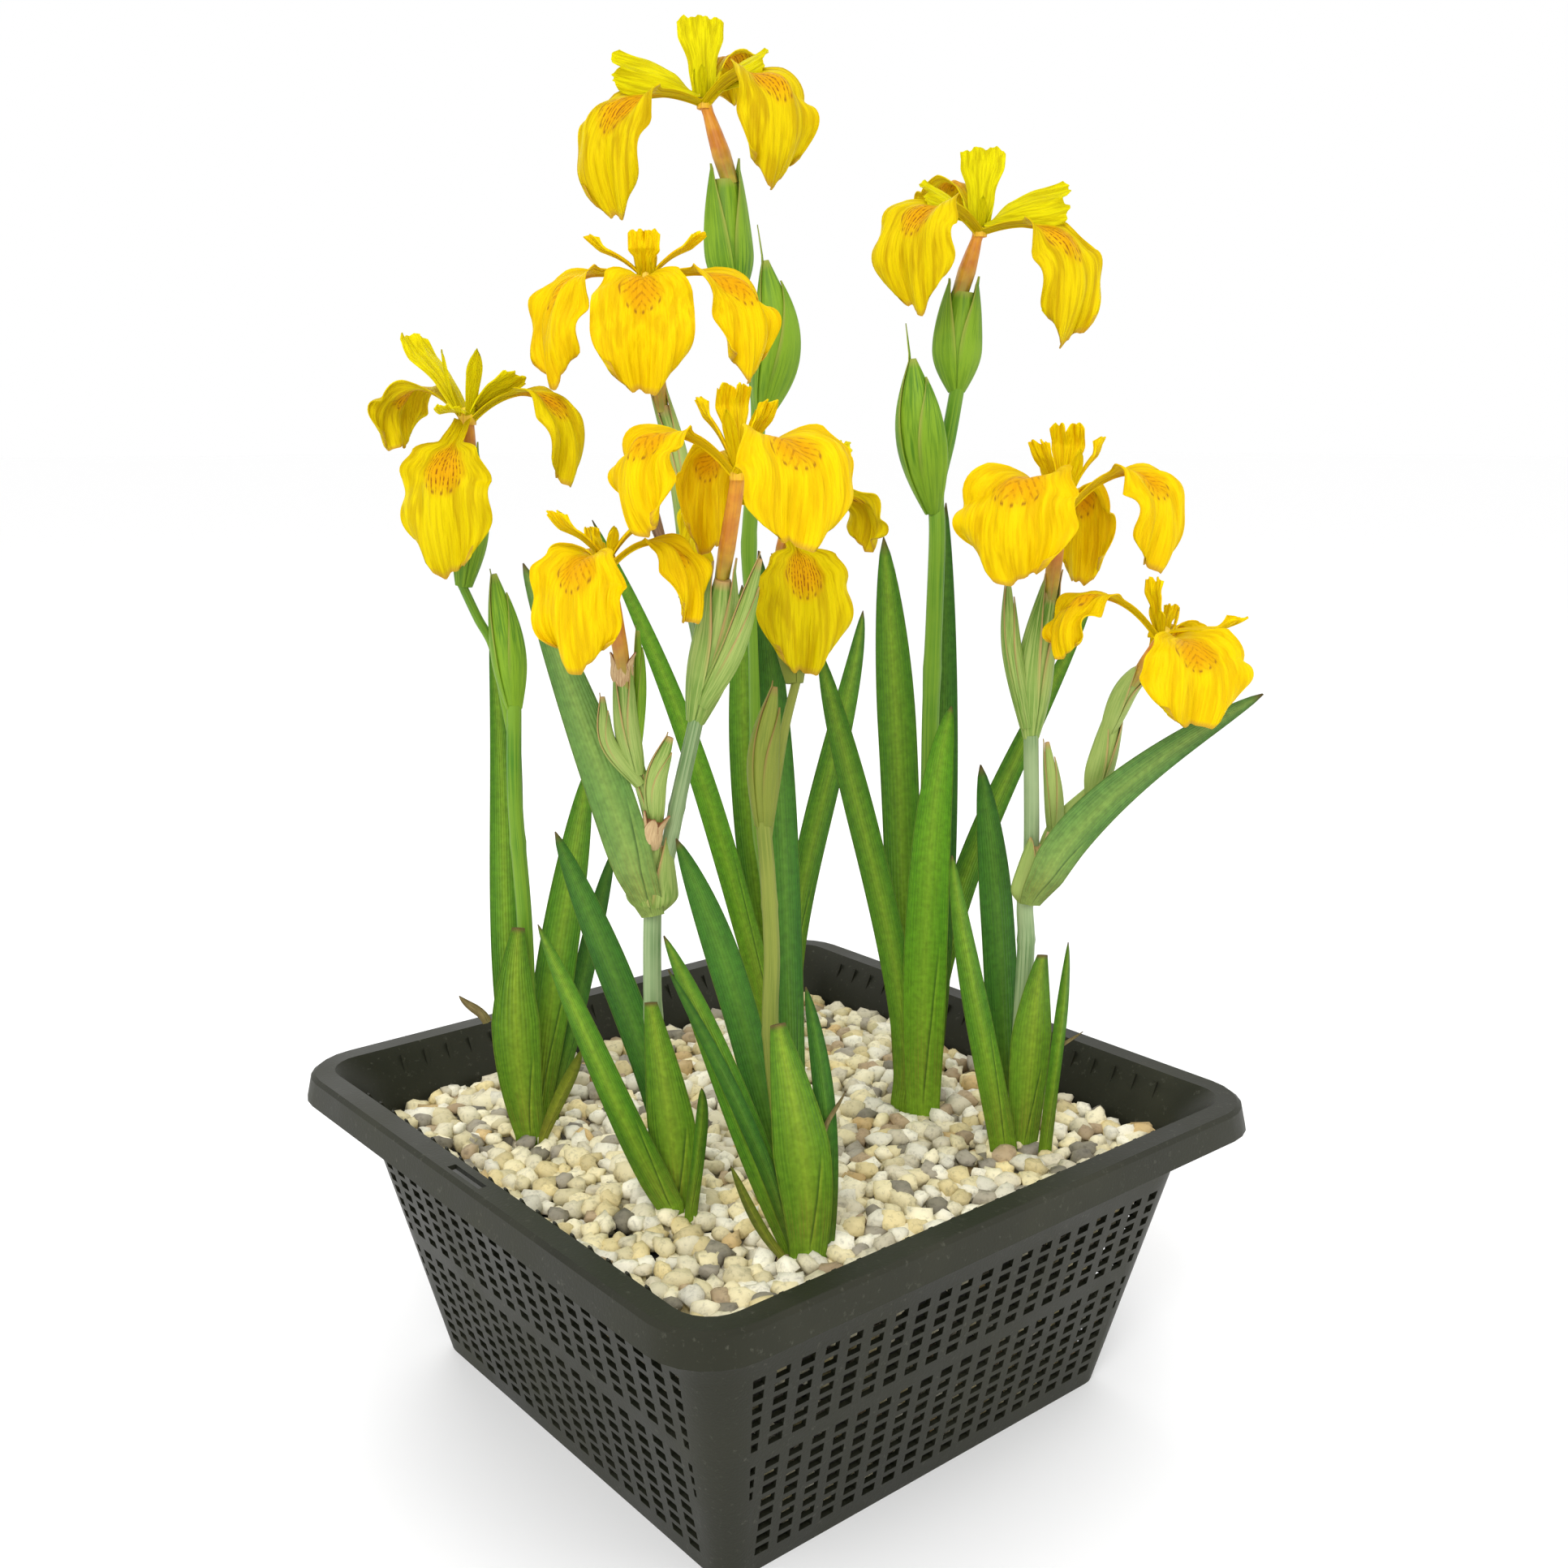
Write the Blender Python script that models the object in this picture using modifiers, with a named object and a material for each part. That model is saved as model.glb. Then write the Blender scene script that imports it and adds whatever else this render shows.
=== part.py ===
"""Yellow flag iris in its square pond basket.

A moulded plastic mesh basket full of gravel holds six fans of sword leaves. A flowering stem
rises from each fan, with green spathes, buds and yellow flowers. The basket stands square to X
and Y, with its base on the ground at the origin. The plants are set out on its diagonal: across
runs left to right as seen from the front corner, back runs away from that corner.
"""
import math
import random

import bmesh
import bpy
from mathutils import Matrix, Vector

MILLI = 0.001

# Basket, in metres
RIM_SIDE = 0.300            # outer side of the square rim
BASKET_HEIGHT = 0.133
RIM_WIDTH = 0.0117          # width of the flat top of the rim
SKIRT_DROP = 0.012          # how far the rim folds down outside the wall
SKIRT_FLARE = 0.0015
RIM_RADIUS = 0.026
WALL_TOP_HALF = 0.1328      # half the side of the wall, at the bottom edge of the skirt
WALL_TOP_RADIUS = 0.020
BASE_HALF = 0.1047
BASE_RADIUS = 0.010
WALL = 0.0020               # thickness of the plastic
SLOT_SIZE = (0.0035, 0.0240)
SLOT_CENTRE = (-0.1445, 0.0010)

# Gravel
GRAVEL_TOP = 0.114
GRAVEL_LUMP = 0.0016        # how far the top rises and falls
GRAVEL_RINGS = 7
GRAVEL_SEED = 6
POCKET_SIZE = (0.050, 0.034)
POCKET_SHIFT = 0.003        # the pocket's middle behind the root
POCKET_DEPTH = 0.008
GAP = 0.0003                # clearance between pieces that touch

# Planting: the front corner's diagonal, and where each fan is rooted
DIAGONAL = math.radians(-39.78)
FANS = {                    # across, back, turn of the fan's plane in degrees
    "a": (-0.1000, -0.0110, 12),
    "b": (-0.0330, -0.0740, -10),
    "c": (0.0135, -0.1060, 10),
    "d": (0.0650, 0.0240, -12),
    "e": (0.1020, -0.0190, 14),
    "f": (0.0090, 0.0950, 8),
}

# Leaves and spathes, lengths in millimetres
LEAF_THICKNESS = 2.0
LEAF_THINNING = 0.55        # the share of the thickness lost by the tip
LEAF_POINT = 0.65           # below one, the blade keeps its width and narrows late
LEAF_TIP_WIDTH = 1.0
LEAF_STATIONS = (0.0, 0.16, 0.34, 0.52, 0.70, 0.86, 1.0)
BRACT_HUG = 5.7             # a bract leaf starts this much nearer its stem
SPATHE_FOOT = 0.62          # width of the foot as a share of the greatest width
SPATHE_FOOT_LIMIT = 5.4
SPATHE_BELLY = 0.42         # where the spathe is widest, as a share of its length
SPATHE_DEPTH = 0.76         # depth from front to back as a share of the width

# Flowers, lengths in millimetres
PETAL_THICKNESS = 0.9
HUB_RADIUS = 3.6
HUB_LEVEL = 3.4             # height of each of the hub's two tiers
NECK_RADIUS = 2.8
NECK_TIERS = ((1.0, 0.8), (0.6, 1.0))   # share of the way down and share of the radius
PETAL_SPAN = 24             # degrees from a fall's middle to its edge on the hub
STANDARD_ROOM = 42          # degrees of hub that a full-size standard needs
# Stations along a petal: how far along it, and half its width there as a share of the width
FALL_STATIONS = ((0.10, 0.10), (0.24, 0.13), (0.40, 0.41), (0.60, 0.52), (0.84, 0.49), (1.0, 0.24))
FALL_CLAW = 0.3             # up to here a fall is its narrow claw, and flat
FALL_CLAW_HALF = 2.2
FALL_TURNED = 0.4           # by here a fall has turned to its facing
ARM_STATIONS = ((0.30, 0.24), (0.72, 0.48), (1.0, 0.42))
ARM_FORK = 0.18             # depth of the notch in the arm's end, as a share of its last span
ARM_CUP = 0.07
ARM_ROLLED = 0.3            # by here an arm has rolled over to show its face
CUP = (0.10, 0.12)           # hollow of a fall, as shares of its half width: even, and growing
STANDARD_STATIONS = ((0.25, 0.34), (0.72, 0.50), (1.0, 0.20))
STANDARD_FOOT = 4.4         # from the flower's axis
STANDARD_LEAN = 0.30        # outwards for each unit upwards

LEAF_GREEN = (0.055, 0.190, 0.030)
BRIGHT_GREEN = (0.120, 0.300, 0.030)
STEM_GREEN = (0.150, 0.260, 0.070)
STRAW = (0.420, 0.330, 0.100)
YELLOW = (0.860, 0.640, 0.010)

# Leaves in millimetres: fan, layer behind the root's plane, lean at the tip, then in the plane of
# the fan the base (across, width), two handles and the tip (across, height) of the middle line,
# the greatest width and how far up it comes
LEAVES = [
    ("a_1", "a", -3.5, -4, (-1, 12), (-6, 30), (-7, 62), (-3, 94), 20, 0.55),
    ("a_2", "a", 9.5, 15, (3, 9), (9, 62), (22, 112), (30, 153), 17, 0.34),
    ("a_3", "a", 13.0, 28, (9, 6), (21, 46), (27, 72), (42, 113), 9, 0.60),
    ("a_4", "a", -7.0, -14, (4, 4), (10, 16), (18, 30), (20, 44), 6, 0.45),
    ("a_5", "a", 16.5, 2, (-1, 9), (-14, 66), (-2, 140), (-9, 213), 13, 0.30),
    ("b_1", "b", -7.0, -16, (-1, 11), (-14, 20), (-33, 74), (-46, 117), 13, 0.20),
    ("b_2", "b", 9.5, 15, (-3, 13), (-4, 32), (-26, 80), (-54, 140), 14, 0.65),
    ("b_3", "b", -3.5, -4, (0, 14), (0, 28), (-5, 56), (-8, 84), 19, 0.40),
    ("b_4", "b", -10.5, -13, (7, 5), (10, 24), (14, 45), (15, 58), 5, 0.55),
    ("c_1", "c", 9.5, 25, (1, 11), (-15, 61), (-17, 92), (-40, 147), 13, 0.65),
    ("c_2", "c", -3.5, -12, (-2, 11), (-19, 40), (-30, 80), (-50, 126), 12, 0.28),
    ("c_3", "c", 13.0, 72, (1, 10), (-2, 74), (3, 160), (-1, 248), 12, 0.65),
    ("c_4", "c", -7.0, -4, (2, 14), (3, 32), (-5, 62), (-10, 90), 21, 0.42),
    ("d_1", "d", -3.5, -12, (-3, 12), (5, 37), (-25, 133), (-40, 204), 13, 0.65),
    ("d_2", "d", 9.5, 12, (-1, 16), (-8, 92), (-7, 143), (-19, 249), 17, 0.70),
    ("d_3", "d", -7.0, -20, (6, 15), (5, 60), (6, 143), (17, 184), 19, 0.30),
    ("d_4", "d", 13.0, 22, (6, 10), (9, 90), (10, 168), (6, 263), 15, 0.30),
    ("d_5", "d", 16.5, 38, (4, 9), (6, 95), (39, 145), (70, 220), 12, 0.33),
    ("e_1", "e", -7.0, -16, (-4, 12), (-13, 46), (-28, 96), (-36, 133), 12, 0.15),
    ("e_2", "e", 9.5, 15, (5, 14), (0, 51), (2, 88), (-7, 158), 15, 0.65),
    ("e_3", "e", -3.5, -4, (6, 13), (8, 30), (7, 58), (10, 84), 18, 0.55),
    ("e_4", "e", -10.5, -13, (13, 6), (16, 36), (17, 64), (14, 94), 6, 0.42),
    ("f_1", "f", -3.5, -10, (-4, 12), (-30, 90), (-38, 150), (-89, 255), 12, 0.36),
    ("f_2", "f", 9.5, 15, (1, 14), (-21, 90), (-19, 150), (-18, 222), 15, 0.60),
    ("f_3", "f", 13.0, 28, (4, 12), (-3, 60), (34, 150), (44, 207), 14, 0.48),
]
# The long bract leaves that stand on a stem's joint, in the same terms, with the joint's height
BRACT_LEAVES = [
    ("b_long", "b", -7.7, -12, (-8, 9), 116, (-16, 150), (-32, 196), (-48, 248), 18, 0.30),
    ("e_long", "e", -7.9, -14, (6, 9), 104, (10, 128), (38, 160), (94, 191), 18, 0.30),
]

# Stems in millimetres from the fan's root: (across, back, height), and the diameter at each end
STEMS = [
    ("fan_a_stem", "a", 7.0, 6.0, [(-2, 3, -7), (0, 3, 52), (0, 3, 95), (-2, 4, 145), (-1, 5, 182)]),
    ("fan_a_branch", "a", 4.0, 3.6, [(-3.5, 9.7, 178), (-8, 10, 207), (-14, 8, 220), (-19, 6, 232)]),
    ("fan_b_stem", "b", 8.0, 5.4, [(-2, 3, -7), (-7, 3, 45), (-10, 3, 75), (-9, 3, 124), (-4, 2, 136),
                                   (3, -2, 164), (10, -6, 190)]),
    ("fan_b_back_stem", "b", 3.6, 2.4, [(-11, 10, 124), (-5, 13, 141), (2, 25, 184), (2, 32, 210),
                                        (-3, 37, 230)]),
    ("fan_c_stem", "c", 6.6, 5.4, [(0, 3, -7), (-6, 3, 41), (-10, 4, 81), (-9, 7, 110), (-10, 10, 139),
                                   (-11, 12, 155)]),
    ("fan_c_branch", "c", 3.6, 3.4, [(-9.1, 16.4, 150), (-3, 31, 170), (2, 42, 186), (7, 49, 200)]),
    ("fan_d_stem", "d", 8.4, 6.0, [(1, 3, -7), (3, 3, 58), (5, 3, 132), (5, 3, 179), (6, 5, 247),
                                   (5, 8, 269), (9, 11, 290), (12, 11, 308)]),
    ("fan_e_stem", "e", 8.0, 6.0, [(5, 3, -7), (6, 3, 40), (7, 3, 85), (6, 3, 103), (8, 3, 123),
                                   (5, 0, 172)]),
    ("fan_f_stem", "f", 8.4, 6.0, [(-2, 3, -7), (-8, 3, 75), (-13, 3, 116), (-14, 4, 198),
                                   (-17, 4, 242), (-12, 8, 303), (-18, 11, 340), (-22, 11, 350)]),
]

# Spathes and buds in millimetres: fan, points up the middle, greatest width, width of the top
SPATHES = [
    ("fan_a_bud", "a", 12.5, 2.0, [(-1, 5, 183), (-3, 4, 210), (-7, 2, 238)]),
    ("fan_a_spathe", "a", 12.0, 6.0, [(-19, 6, 233), (-15, 4, 259), (-15, 3, 285)]),
    ("fan_c_bud", "c", 9.8, 1.8, [(-11, 12, 156), (-11, 12, 182), (-7, 11, 206)]),
    ("fan_c_spathe", "c", 12.0, 6.0, [(7, 50, 201), (6, 57, 227), (4, 61, 247)]),
    ("fan_d_bud", "d", 19.0, 2.5, [(2.4, 1.9, 264), (-1, -4, 294), (-4, -6, 322)]),
    ("fan_d_spathe", "d", 17.5, 10.0, [(12, 11, 309), (12, 11, 330), (14, 11, 352)]),
    ("fan_f_bud", "f", 19.5, 2.5, [(-8.6, 2.6, 303), (-5, -3, 333), (-10, -5, 367)]),
    ("fan_f_spathe", "f", 19.5, 11.0, [(-22, 11, 351), (-25, 11, 376), (-26, 11, 407)]),
]
# Shoots of several spathes and bracts that grew as one, each as in the list above
SHOOTS = [
    ("fan_b_spathe", "b", [
        (14.0, 6.5, [(10, -6, 191), (19, -12, 221), (24, -20, 247)]),
        (8.0, 1.4, [(14, -10, 198), (27, -18, 221), (38, -26, 251)]),
    ]),
    ("fan_b_back_spathe", "b", [
        (7.5, 5.0, [(-3, 37, 231), (-3, 41, 256), (-8, 45, 284), (-15, 48, 307)]),
        (3.0, 2.4, [(-3, 37, 234), (-9, 37, 243), (-13, 37, 254)]),
        (4.6, 1.8, [(-12, 37, 251), (-18, 38, 269), (-22, 39, 284)]),
    ]),
    ("fan_e_spathe", "e", [
        (14.0, 6.0, [(5, 0, 173), (5, -2, 203), (10, -4, 236)]),
        (6.5, 1.4, [(2, -2, 178), (-7, -6, 211), (-10, -8, 238)]),
    ]),
    ("fan_b_side_shoot", "b", [
        (4.6, 4.0, [(-8.5, -3.8, 130), (-7, -5, 152), (-12, -11, 180)]),
        (7.5, 5.0, [(-11, -10, 172), (-13, -15, 190), (-12, -22, 212)]),
        (4.2, 1.2, [(-11, -11, 178), (-8, -15, 204), (-7, -19, 225)]),
        (7.5, 2.5, [(-5.5, -5.5, 153), (-4, -10, 170), (2, -11, 186)]),
        (5.5, 1.6, [(-10, -10, 168), (-20, -15, 184), (-21, -17, 201)]),
    ]),
    ("fan_e_side_shoot", "e", [
        (5.5, 4.5, [(13, 10, 108), (20, 8, 133), (36, 3, 151)]),
        (11.0, 6.0, [(34, 3, 147), (36, -1, 163), (38, -7, 184)]),
        (9.0, 6.0, [(36, -4, 174), (39, -12, 192), (43, -19, 202)]),
        (6.5, 2.0, [(20, 7, 128), (17, 3, 148), (12, 0, 171)]),
    ]),
]

# The forms of flower, in millimetres and degrees. Each row is one fall with the style arm above
# it. The fall: azimuth from the viewer at the front corner, reach, rise, drop, distance of the tip
# from the axis, width, twist. The arm: azimuth, length, rise, width, twist, roll. Last, the length
# and the width of the three standards.
FLOWER_FORMS = {
    "broad": ([(-64, 48, 4, 52, 41, 34, 34, -78, 40, 11, 17, 10, -46),
               (52, 46, 11, 38, 37, 38, -16, 70, 29, 15, 13, -10, 32),
               (158, 35, 22, -7, 40, 30, 0, 190, 13, 36, 16, 0, 0)], 14, 4),
    "open": ([(-98, 37, 5, 37, 35, 30, 46, -82, 21, 12, 6, 30, 0),
              (0, 25, 3, 41, 20, 36, 0, 0, 10, 12, 10, 0, 0),
              (84, 38, 5, 35, 37, 28, -40, 80, 21, 13, 6, -30, 0)], 12, 4),
    "tossed": ([(-128, 42, 12, 12, 42, 24, 0, -120, 28, 28, 18, 12, 0),
                (-20, 23, -8, 60, 19, 37, 4, -22, 15, 2, 10, 0, 0),
                (84, 39, 11, 25, 37, 21, -30, 74, 22, 14, 10, -20, -20)], 25, 6),
    "high": ([(-155, 30, 8, 28, 28, 22, 0, -158, 8, 24, 10, 0, 0),
              (-80, 35, 13, 20, 30, 27, 38, -84, 14, 20, 6, 20, 0),
              (38, 35, 12, 23, 31, 40, -8, 46, 15, 19, 6, -20, 0)], 19, 5),
    "low": ([(-145, 24, 5, 24, 22, 24, 0, -140, 10, 8, 5, 0, 0),
             (-20, 27, 5, 34, 22, 32, 0, -52, 20, 13, 7, 20, 0),
             (92, 27, 8, 21, 27, 18, -40, 84, 16, 14, 7, -20, 0)], 11, 4),
    "nodding": ([(-78, 39, 16, 6, 41, 20, 20, -60, 8, 20, 7, 10, 0),
                 (16, 30, 3, 31, 27, 42, 0, 72, 29, 4, 8, -30, 0),
                 (150, 24, 5, 22, 22, 24, 0, 150, 10, 9, 5, 0, 0)], 11, 4),
}
# Flowers: fan, form, hub (across, back, height), foot of the neck, size, mirrored
FLOWERS = [
    ("fan_a_flower", "a", "tossed", (-15, 3, 299), (-15, 3, 286), 1.00, False),
    ("fan_b_flower_high", "b", "high", (34, -41, 281), (24, -20, 248), 1.00, False),
    ("fan_b_flower_low", "b", "low", (-13, -36, 251), (-12, -22, 213), 1.00, False),
    ("fan_b_flower_back", "b", "open", (-20, 50, 349), (-15, 48, 308), 1.03, False),
    ("fan_c_flower", "c", "tossed", (7, 64, 260), (4, 61, 248), 0.92, True),
    ("fan_d_flower", "d", "broad", (20, 11, 373), (14, 11, 353), 0.88, True),
    ("fan_e_flower_high", "e", "high", (12, -6, 265), (10, -4, 237), 1.15, True),
    ("fan_e_flower_low", "e", "nodding", (48, -25, 216), (43, -19, 203), 1.00, False),
    ("fan_f_flower", "f", "broad", (-35, 11, 435), (-26, 11, 408), 1.00, False),
]


def clear_scene():
    """Remove what a new file holds."""
    for obj in list(bpy.data.objects):
        bpy.data.objects.remove(obj, do_unlink=True)


def new_collection(name):
    collection = bpy.data.collections.new(name)
    bpy.context.scene.collection.children.link(collection)
    return collection


def material(name, colour, roughness):
    """A Principled material of the piece's own."""
    mat = bpy.data.materials.new(name)
    mat.use_nodes = True
    shader = mat.node_tree.nodes["Principled BSDF"]
    shader.inputs["Base Color"].default_value = (*colour, 1.0)
    shader.inputs["Roughness"].default_value = roughness
    shader.inputs["Metallic"].default_value = 0.0
    return mat


def finish_object(bm, name, collection, colour, roughness, parent=None, smooth=True):
    """Turn a closed bmesh into the named object."""
    bmesh.ops.recalc_face_normals(bm, faces=bm.faces)
    mesh = bpy.data.meshes.new(name)
    bm.to_mesh(mesh)
    bm.free()
    if smooth:
        mesh.shade_smooth()
        mesh.set_sharp_from_angle(angle=math.radians(50))
    mesh.materials.append(material(name, colour, roughness))
    obj = bpy.data.objects.new(name, mesh)
    collection.objects.link(obj)
    obj.parent = parent
    return obj


def loft(bm, rings, close_start=True, close_end=True):
    """Join rings of points, each to the next, with a cap at either end."""
    made = [[bm.verts.new(point) for point in ring] for ring in rings]
    skin(bm, made)
    if close_start:
        bm.faces.new(list(reversed(made[0])))
    if close_end:
        bm.faces.new(made[-1])
    return made


def skin(bm, rings):
    """Faces between rings of vertices."""
    for low, high in zip(rings, rings[1:]):
        count = len(low)
        for i in range(count):
            j = (i + 1) % count
            bm.faces.new((low[i], low[j], high[j], high[i]))


def rounded_square(half, radius, height, steps=4):
    """Points round a square with round corners, from the +X side, anticlockwise."""
    points = []
    for corner, (sx, sy) in enumerate(((1, 1), (-1, 1), (-1, -1), (1, -1))):
        centre = Vector((sx * (half - radius), sy * (half - radius), height))
        for step in range(steps + 1):
            angle = math.radians(90 * (corner + step / steps))
            points.append(centre + Vector((radius * math.cos(angle), radius * math.sin(angle), 0)))
    return points


def bezier(start, low, high, end, t):
    """A point on the cubic curve between start and end."""
    s = 1 - t
    return start * s**3 + low * (3 * s * s * t) + high * (3 * s * t * t) + end * t**3


def through(points, t):
    """A point on the smooth curve through the given points, t from 0 to 1."""
    spans = len(points) - 1
    at = min(int(t * spans), spans - 1)
    u = t * spans - at
    p1 = points[at]
    p2 = points[at + 1]
    p0 = points[at - 1] if at > 0 else p1 * 2 - p2
    p3 = points[at + 2] if at + 2 <= spans else p2 * 2 - p1
    return (p1 * 2 + (p2 - p0) * u + (p0 * 2 - p1 * 5 + p2 * 4 - p3) * u * u
            + (p1 * 3 - p0 - p2 * 3 + p3) * u**3) / 2


# Basket

def make_basket(collection, cutters):
    """The tub: one open surface of base, wall, rim and skirt, thickened inwards and upwards."""
    rim_half = RIM_SIDE / 2
    inner_half = rim_half - RIM_WIDTH
    rows = [
        (BASE_HALF, BASE_RADIUS, 0.0),
        (WALL_TOP_HALF, WALL_TOP_RADIUS, BASKET_HEIGHT - SKIRT_DROP),
        (inner_half + WALL, RIM_RADIUS - RIM_WIDTH + WALL, BASKET_HEIGHT - WALL),
        (rim_half - WALL, RIM_RADIUS - WALL, BASKET_HEIGHT - WALL),
        (rim_half + SKIRT_FLARE - WALL, RIM_RADIUS - WALL, BASKET_HEIGHT - SKIRT_DROP),
    ]
    bm = bmesh.new()
    loft(bm, [rounded_square(*row) for row in rows], close_end=False)
    mesh = bpy.data.meshes.new("basket")
    bm.to_mesh(mesh)
    bm.free()
    mesh.materials.append(material("basket", (0.030, 0.031, 0.029), 0.5))
    basket = bpy.data.objects.new("basket", mesh)
    collection.objects.link(basket)
    shell = basket.modifiers.new("wall", "SOLIDIFY")
    shell.thickness = WALL
    shell.offset = -1.0
    shell.use_even_offset = True
    bpy.ops.mesh.primitive_cube_add(size=1, location=(*SLOT_CENTRE, BASKET_HEIGHT))
    slot = bpy.context.object
    slot.name = "rim slot"
    slot.scale = (*SLOT_SIZE, 4 * WALL)
    add_cutter(basket, slot, cutters)


def add_cutter(target, cutter, cutters):
    """Cut target with cutter, which moves to the cutters' collection."""
    for collection in list(cutter.users_collection):
        collection.objects.unlink(cutter)
    cutters.objects.link(cutter)
    cutter.hide_render = True
    cutter.display_type = "WIRE"
    cut = target.modifiers.new(cutter.name, "BOOLEAN")
    cut.operation = "DIFFERENCE"
    cut.solver = "EXACT"
    cut.object = cutter


# Gravel

def make_gravel(collection, cutters, fans):
    """The bed of stones: it fills the basket and has a pocket for the foot of each fan."""
    slope = (WALL_TOP_HALF - BASE_HALF) / (BASKET_HEIGHT - SKIRT_DROP)
    floor = WALL + GAP
    inset = WALL * math.hypot(1, slope) + GAP       # the wall leans, so it is wider on the level
    low_half = BASE_HALF + slope * floor - inset
    top_half = BASE_HALF + slope * GRAVEL_TOP - inset
    rings = [
        rounded_square(low_half, BASE_RADIUS, floor),
        rounded_square(top_half, WALL_TOP_RADIUS - WALL / 2, GRAVEL_TOP),
    ]
    rng = random.Random(GRAVEL_SEED)
    for ring in range(1, GRAVEL_RINGS + 1):
        half = top_half * (1 - ring / (GRAVEL_RINGS + 0.5))
        points = rounded_square(half, half * 0.35, GRAVEL_TOP)
        for point in points:
            point.z += rng.uniform(-GRAVEL_LUMP, GRAVEL_LUMP)
        rings.append(points)
    bm = bmesh.new()
    loft(bm, rings)
    gravel = finish_object(bm, "gravel", collection, (0.62, 0.57, 0.45), 0.8, smooth=False)
    for fan, root in fans.items():
        bpy.ops.mesh.primitive_cube_add(size=1)
        pocket = bpy.context.object
        pocket.name = "pocket " + fan
        pocket.scale = (*POCKET_SIZE, 2 * POCKET_DEPTH)
        pocket.location = root.matrix_world @ Vector((0, POCKET_SHIFT, 0))
        pocket.rotation_euler = root.matrix_world.to_euler()
        add_cutter(gravel, pocket, cutters)


# Leaves

def leaf_width(t, base_width, width, widest):
    """Width at t along the blade: it swells to the widest place, then narrows to a point."""
    if t < widest:
        return base_width + (width - base_width) * math.sin(math.pi / 2 * t / widest)
    beyond = (t - widest) / (1 - widest)
    return max(width * max(1 - beyond * beyond, 0.0) ** LEAF_POINT, LEAF_TIP_WIDTH)


def make_leaf(name, collection, fan, layer, lean, foot, start, low, high, tip, widths, colour):
    """A sword leaf: a thin lens-shaped section that follows the blade's middle line."""
    base_width, width, widest = widths
    start, low, high, tip = (Vector(point) for point in (start, low, high, tip))
    stations = [(bezier(start, low, high, tip, t), t) for t in LEAF_STATIONS]
    if foot:
        stations.insert(0, (Vector((start.x, -foot)), 0.0))
    rings = []
    for i, (point, t) in enumerate(stations):
        before = stations[max(i - 1, 0)][0]
        after = stations[min(i + 1, len(stations) - 1)][0]
        along = (after - before).normalized()
        level_foot = foot and i == 0
        side = Vector((1, 0, 0)) if level_foot else Vector((along.y, 0, -along.x))
        half = leaf_width(t, base_width, width, widest) / 2
        hug = 0.0 if foot or t > 0 else BRACT_HUG
        middle = Vector((point.x, layer + lean * t * t + hug, point.y))
        front = Vector((0, LEAF_THICKNESS / 2 * (1 - LEAF_THINNING * t), 0))
        ring = (middle - side * half, middle - front, middle + side * half, middle + front)
        rings.append([corner * MILLI for corner in ring])
    bm = bmesh.new()
    loft(bm, rings)
    return finish_object(bm, name, collection, colour, 0.45, fan)


def make_leaves(collection, fans):
    """All the leaves of the six fans, and the two long bract leaves on the stems' joints."""
    foot = (POCKET_DEPTH - GAP) / MILLI
    for name, fan, layer, lean, base, low, high, tip, width, widest in LEAVES:
        colour = BRIGHT_GREEN if name in ("f_1", "d_3") else LEAF_GREEN
        make_leaf("leaf_" + name, collection, fans[fan], layer, lean, foot,
                  (base[0], 0), low, high, tip, (base[1], width, widest), colour)
    for name, fan, layer, lean, base, joint, low, high, tip, width, widest in BRACT_LEAVES:
        make_leaf("bract_leaf_" + name, collection, fans[fan], layer, lean, 0,
                  (base[0], joint), low, high, tip, (base[1], width, widest), LEAF_GREEN)


# Stems

def make_stem(name, collection, fan, low_width, high_width, points):
    """A round stem: a bevelled curve that tapers from its foot to its top."""
    curve = bpy.data.curves.new(name, "CURVE")
    curve.dimensions = "3D"
    curve.bevel_depth = low_width * MILLI / 2
    curve.bevel_resolution = 2
    curve.use_fill_caps = True
    spline = curve.splines.new("POLY")
    spline.points.add(len(points) - 1)
    for i, (point, place) in enumerate(zip(spline.points, points)):
        share = i / (len(points) - 1)
        point.co = (*(Vector(place) * MILLI), 1)
        point.radius = 1 + (high_width / low_width - 1) * share
    curve.materials.append(material(name, STEM_GREEN, 0.45))
    stem = bpy.data.objects.new(name, curve)
    collection.objects.link(stem)
    stem.parent = fan
    return stem


# Spathes and buds

def spathe_rings(width, top_width, points, steps=5, sides=6):
    """Rings of a spathe: an ellipse that swells from the stem and closes towards its top."""
    line = [Vector(point) for point in points]
    foot_width = min(width * SPATHE_FOOT, SPATHE_FOOT_LIMIT)
    rings = []
    for step in range(steps + 1):
        t = step / steps
        centre = through(line, t)
        along = (through(line, min(t + 0.05, 1.0)) - through(line, max(t - 0.05, 0.0))).normalized()
        side = along.cross(Vector((0, 1, 0))).normalized()
        front = side.cross(along).normalized()
        if t < SPATHE_BELLY:
            size = foot_width + (width - foot_width) * math.sin(math.pi / 2 * t / SPATHE_BELLY)
        else:
            beyond = (t - SPATHE_BELLY) / (1 - SPATHE_BELLY)
            size = top_width + (width - top_width) * math.cos(math.pi / 2 * beyond)
        ring = []
        for i in range(sides):
            angle = 2 * math.pi * i / sides
            ring.append((centre + side * (size / 2 * math.cos(angle))
                         + front * (size / 2 * SPATHE_DEPTH * math.sin(angle))) * MILLI)
        rings.append(ring)
    return rings


def make_spathe(name, collection, fan, width, top_width, points, colour=STEM_GREEN):
    bm = bmesh.new()
    loft(bm, spathe_rings(width, top_width, points))
    return finish_object(bm, name, collection, colour, 0.5, fan)


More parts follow.
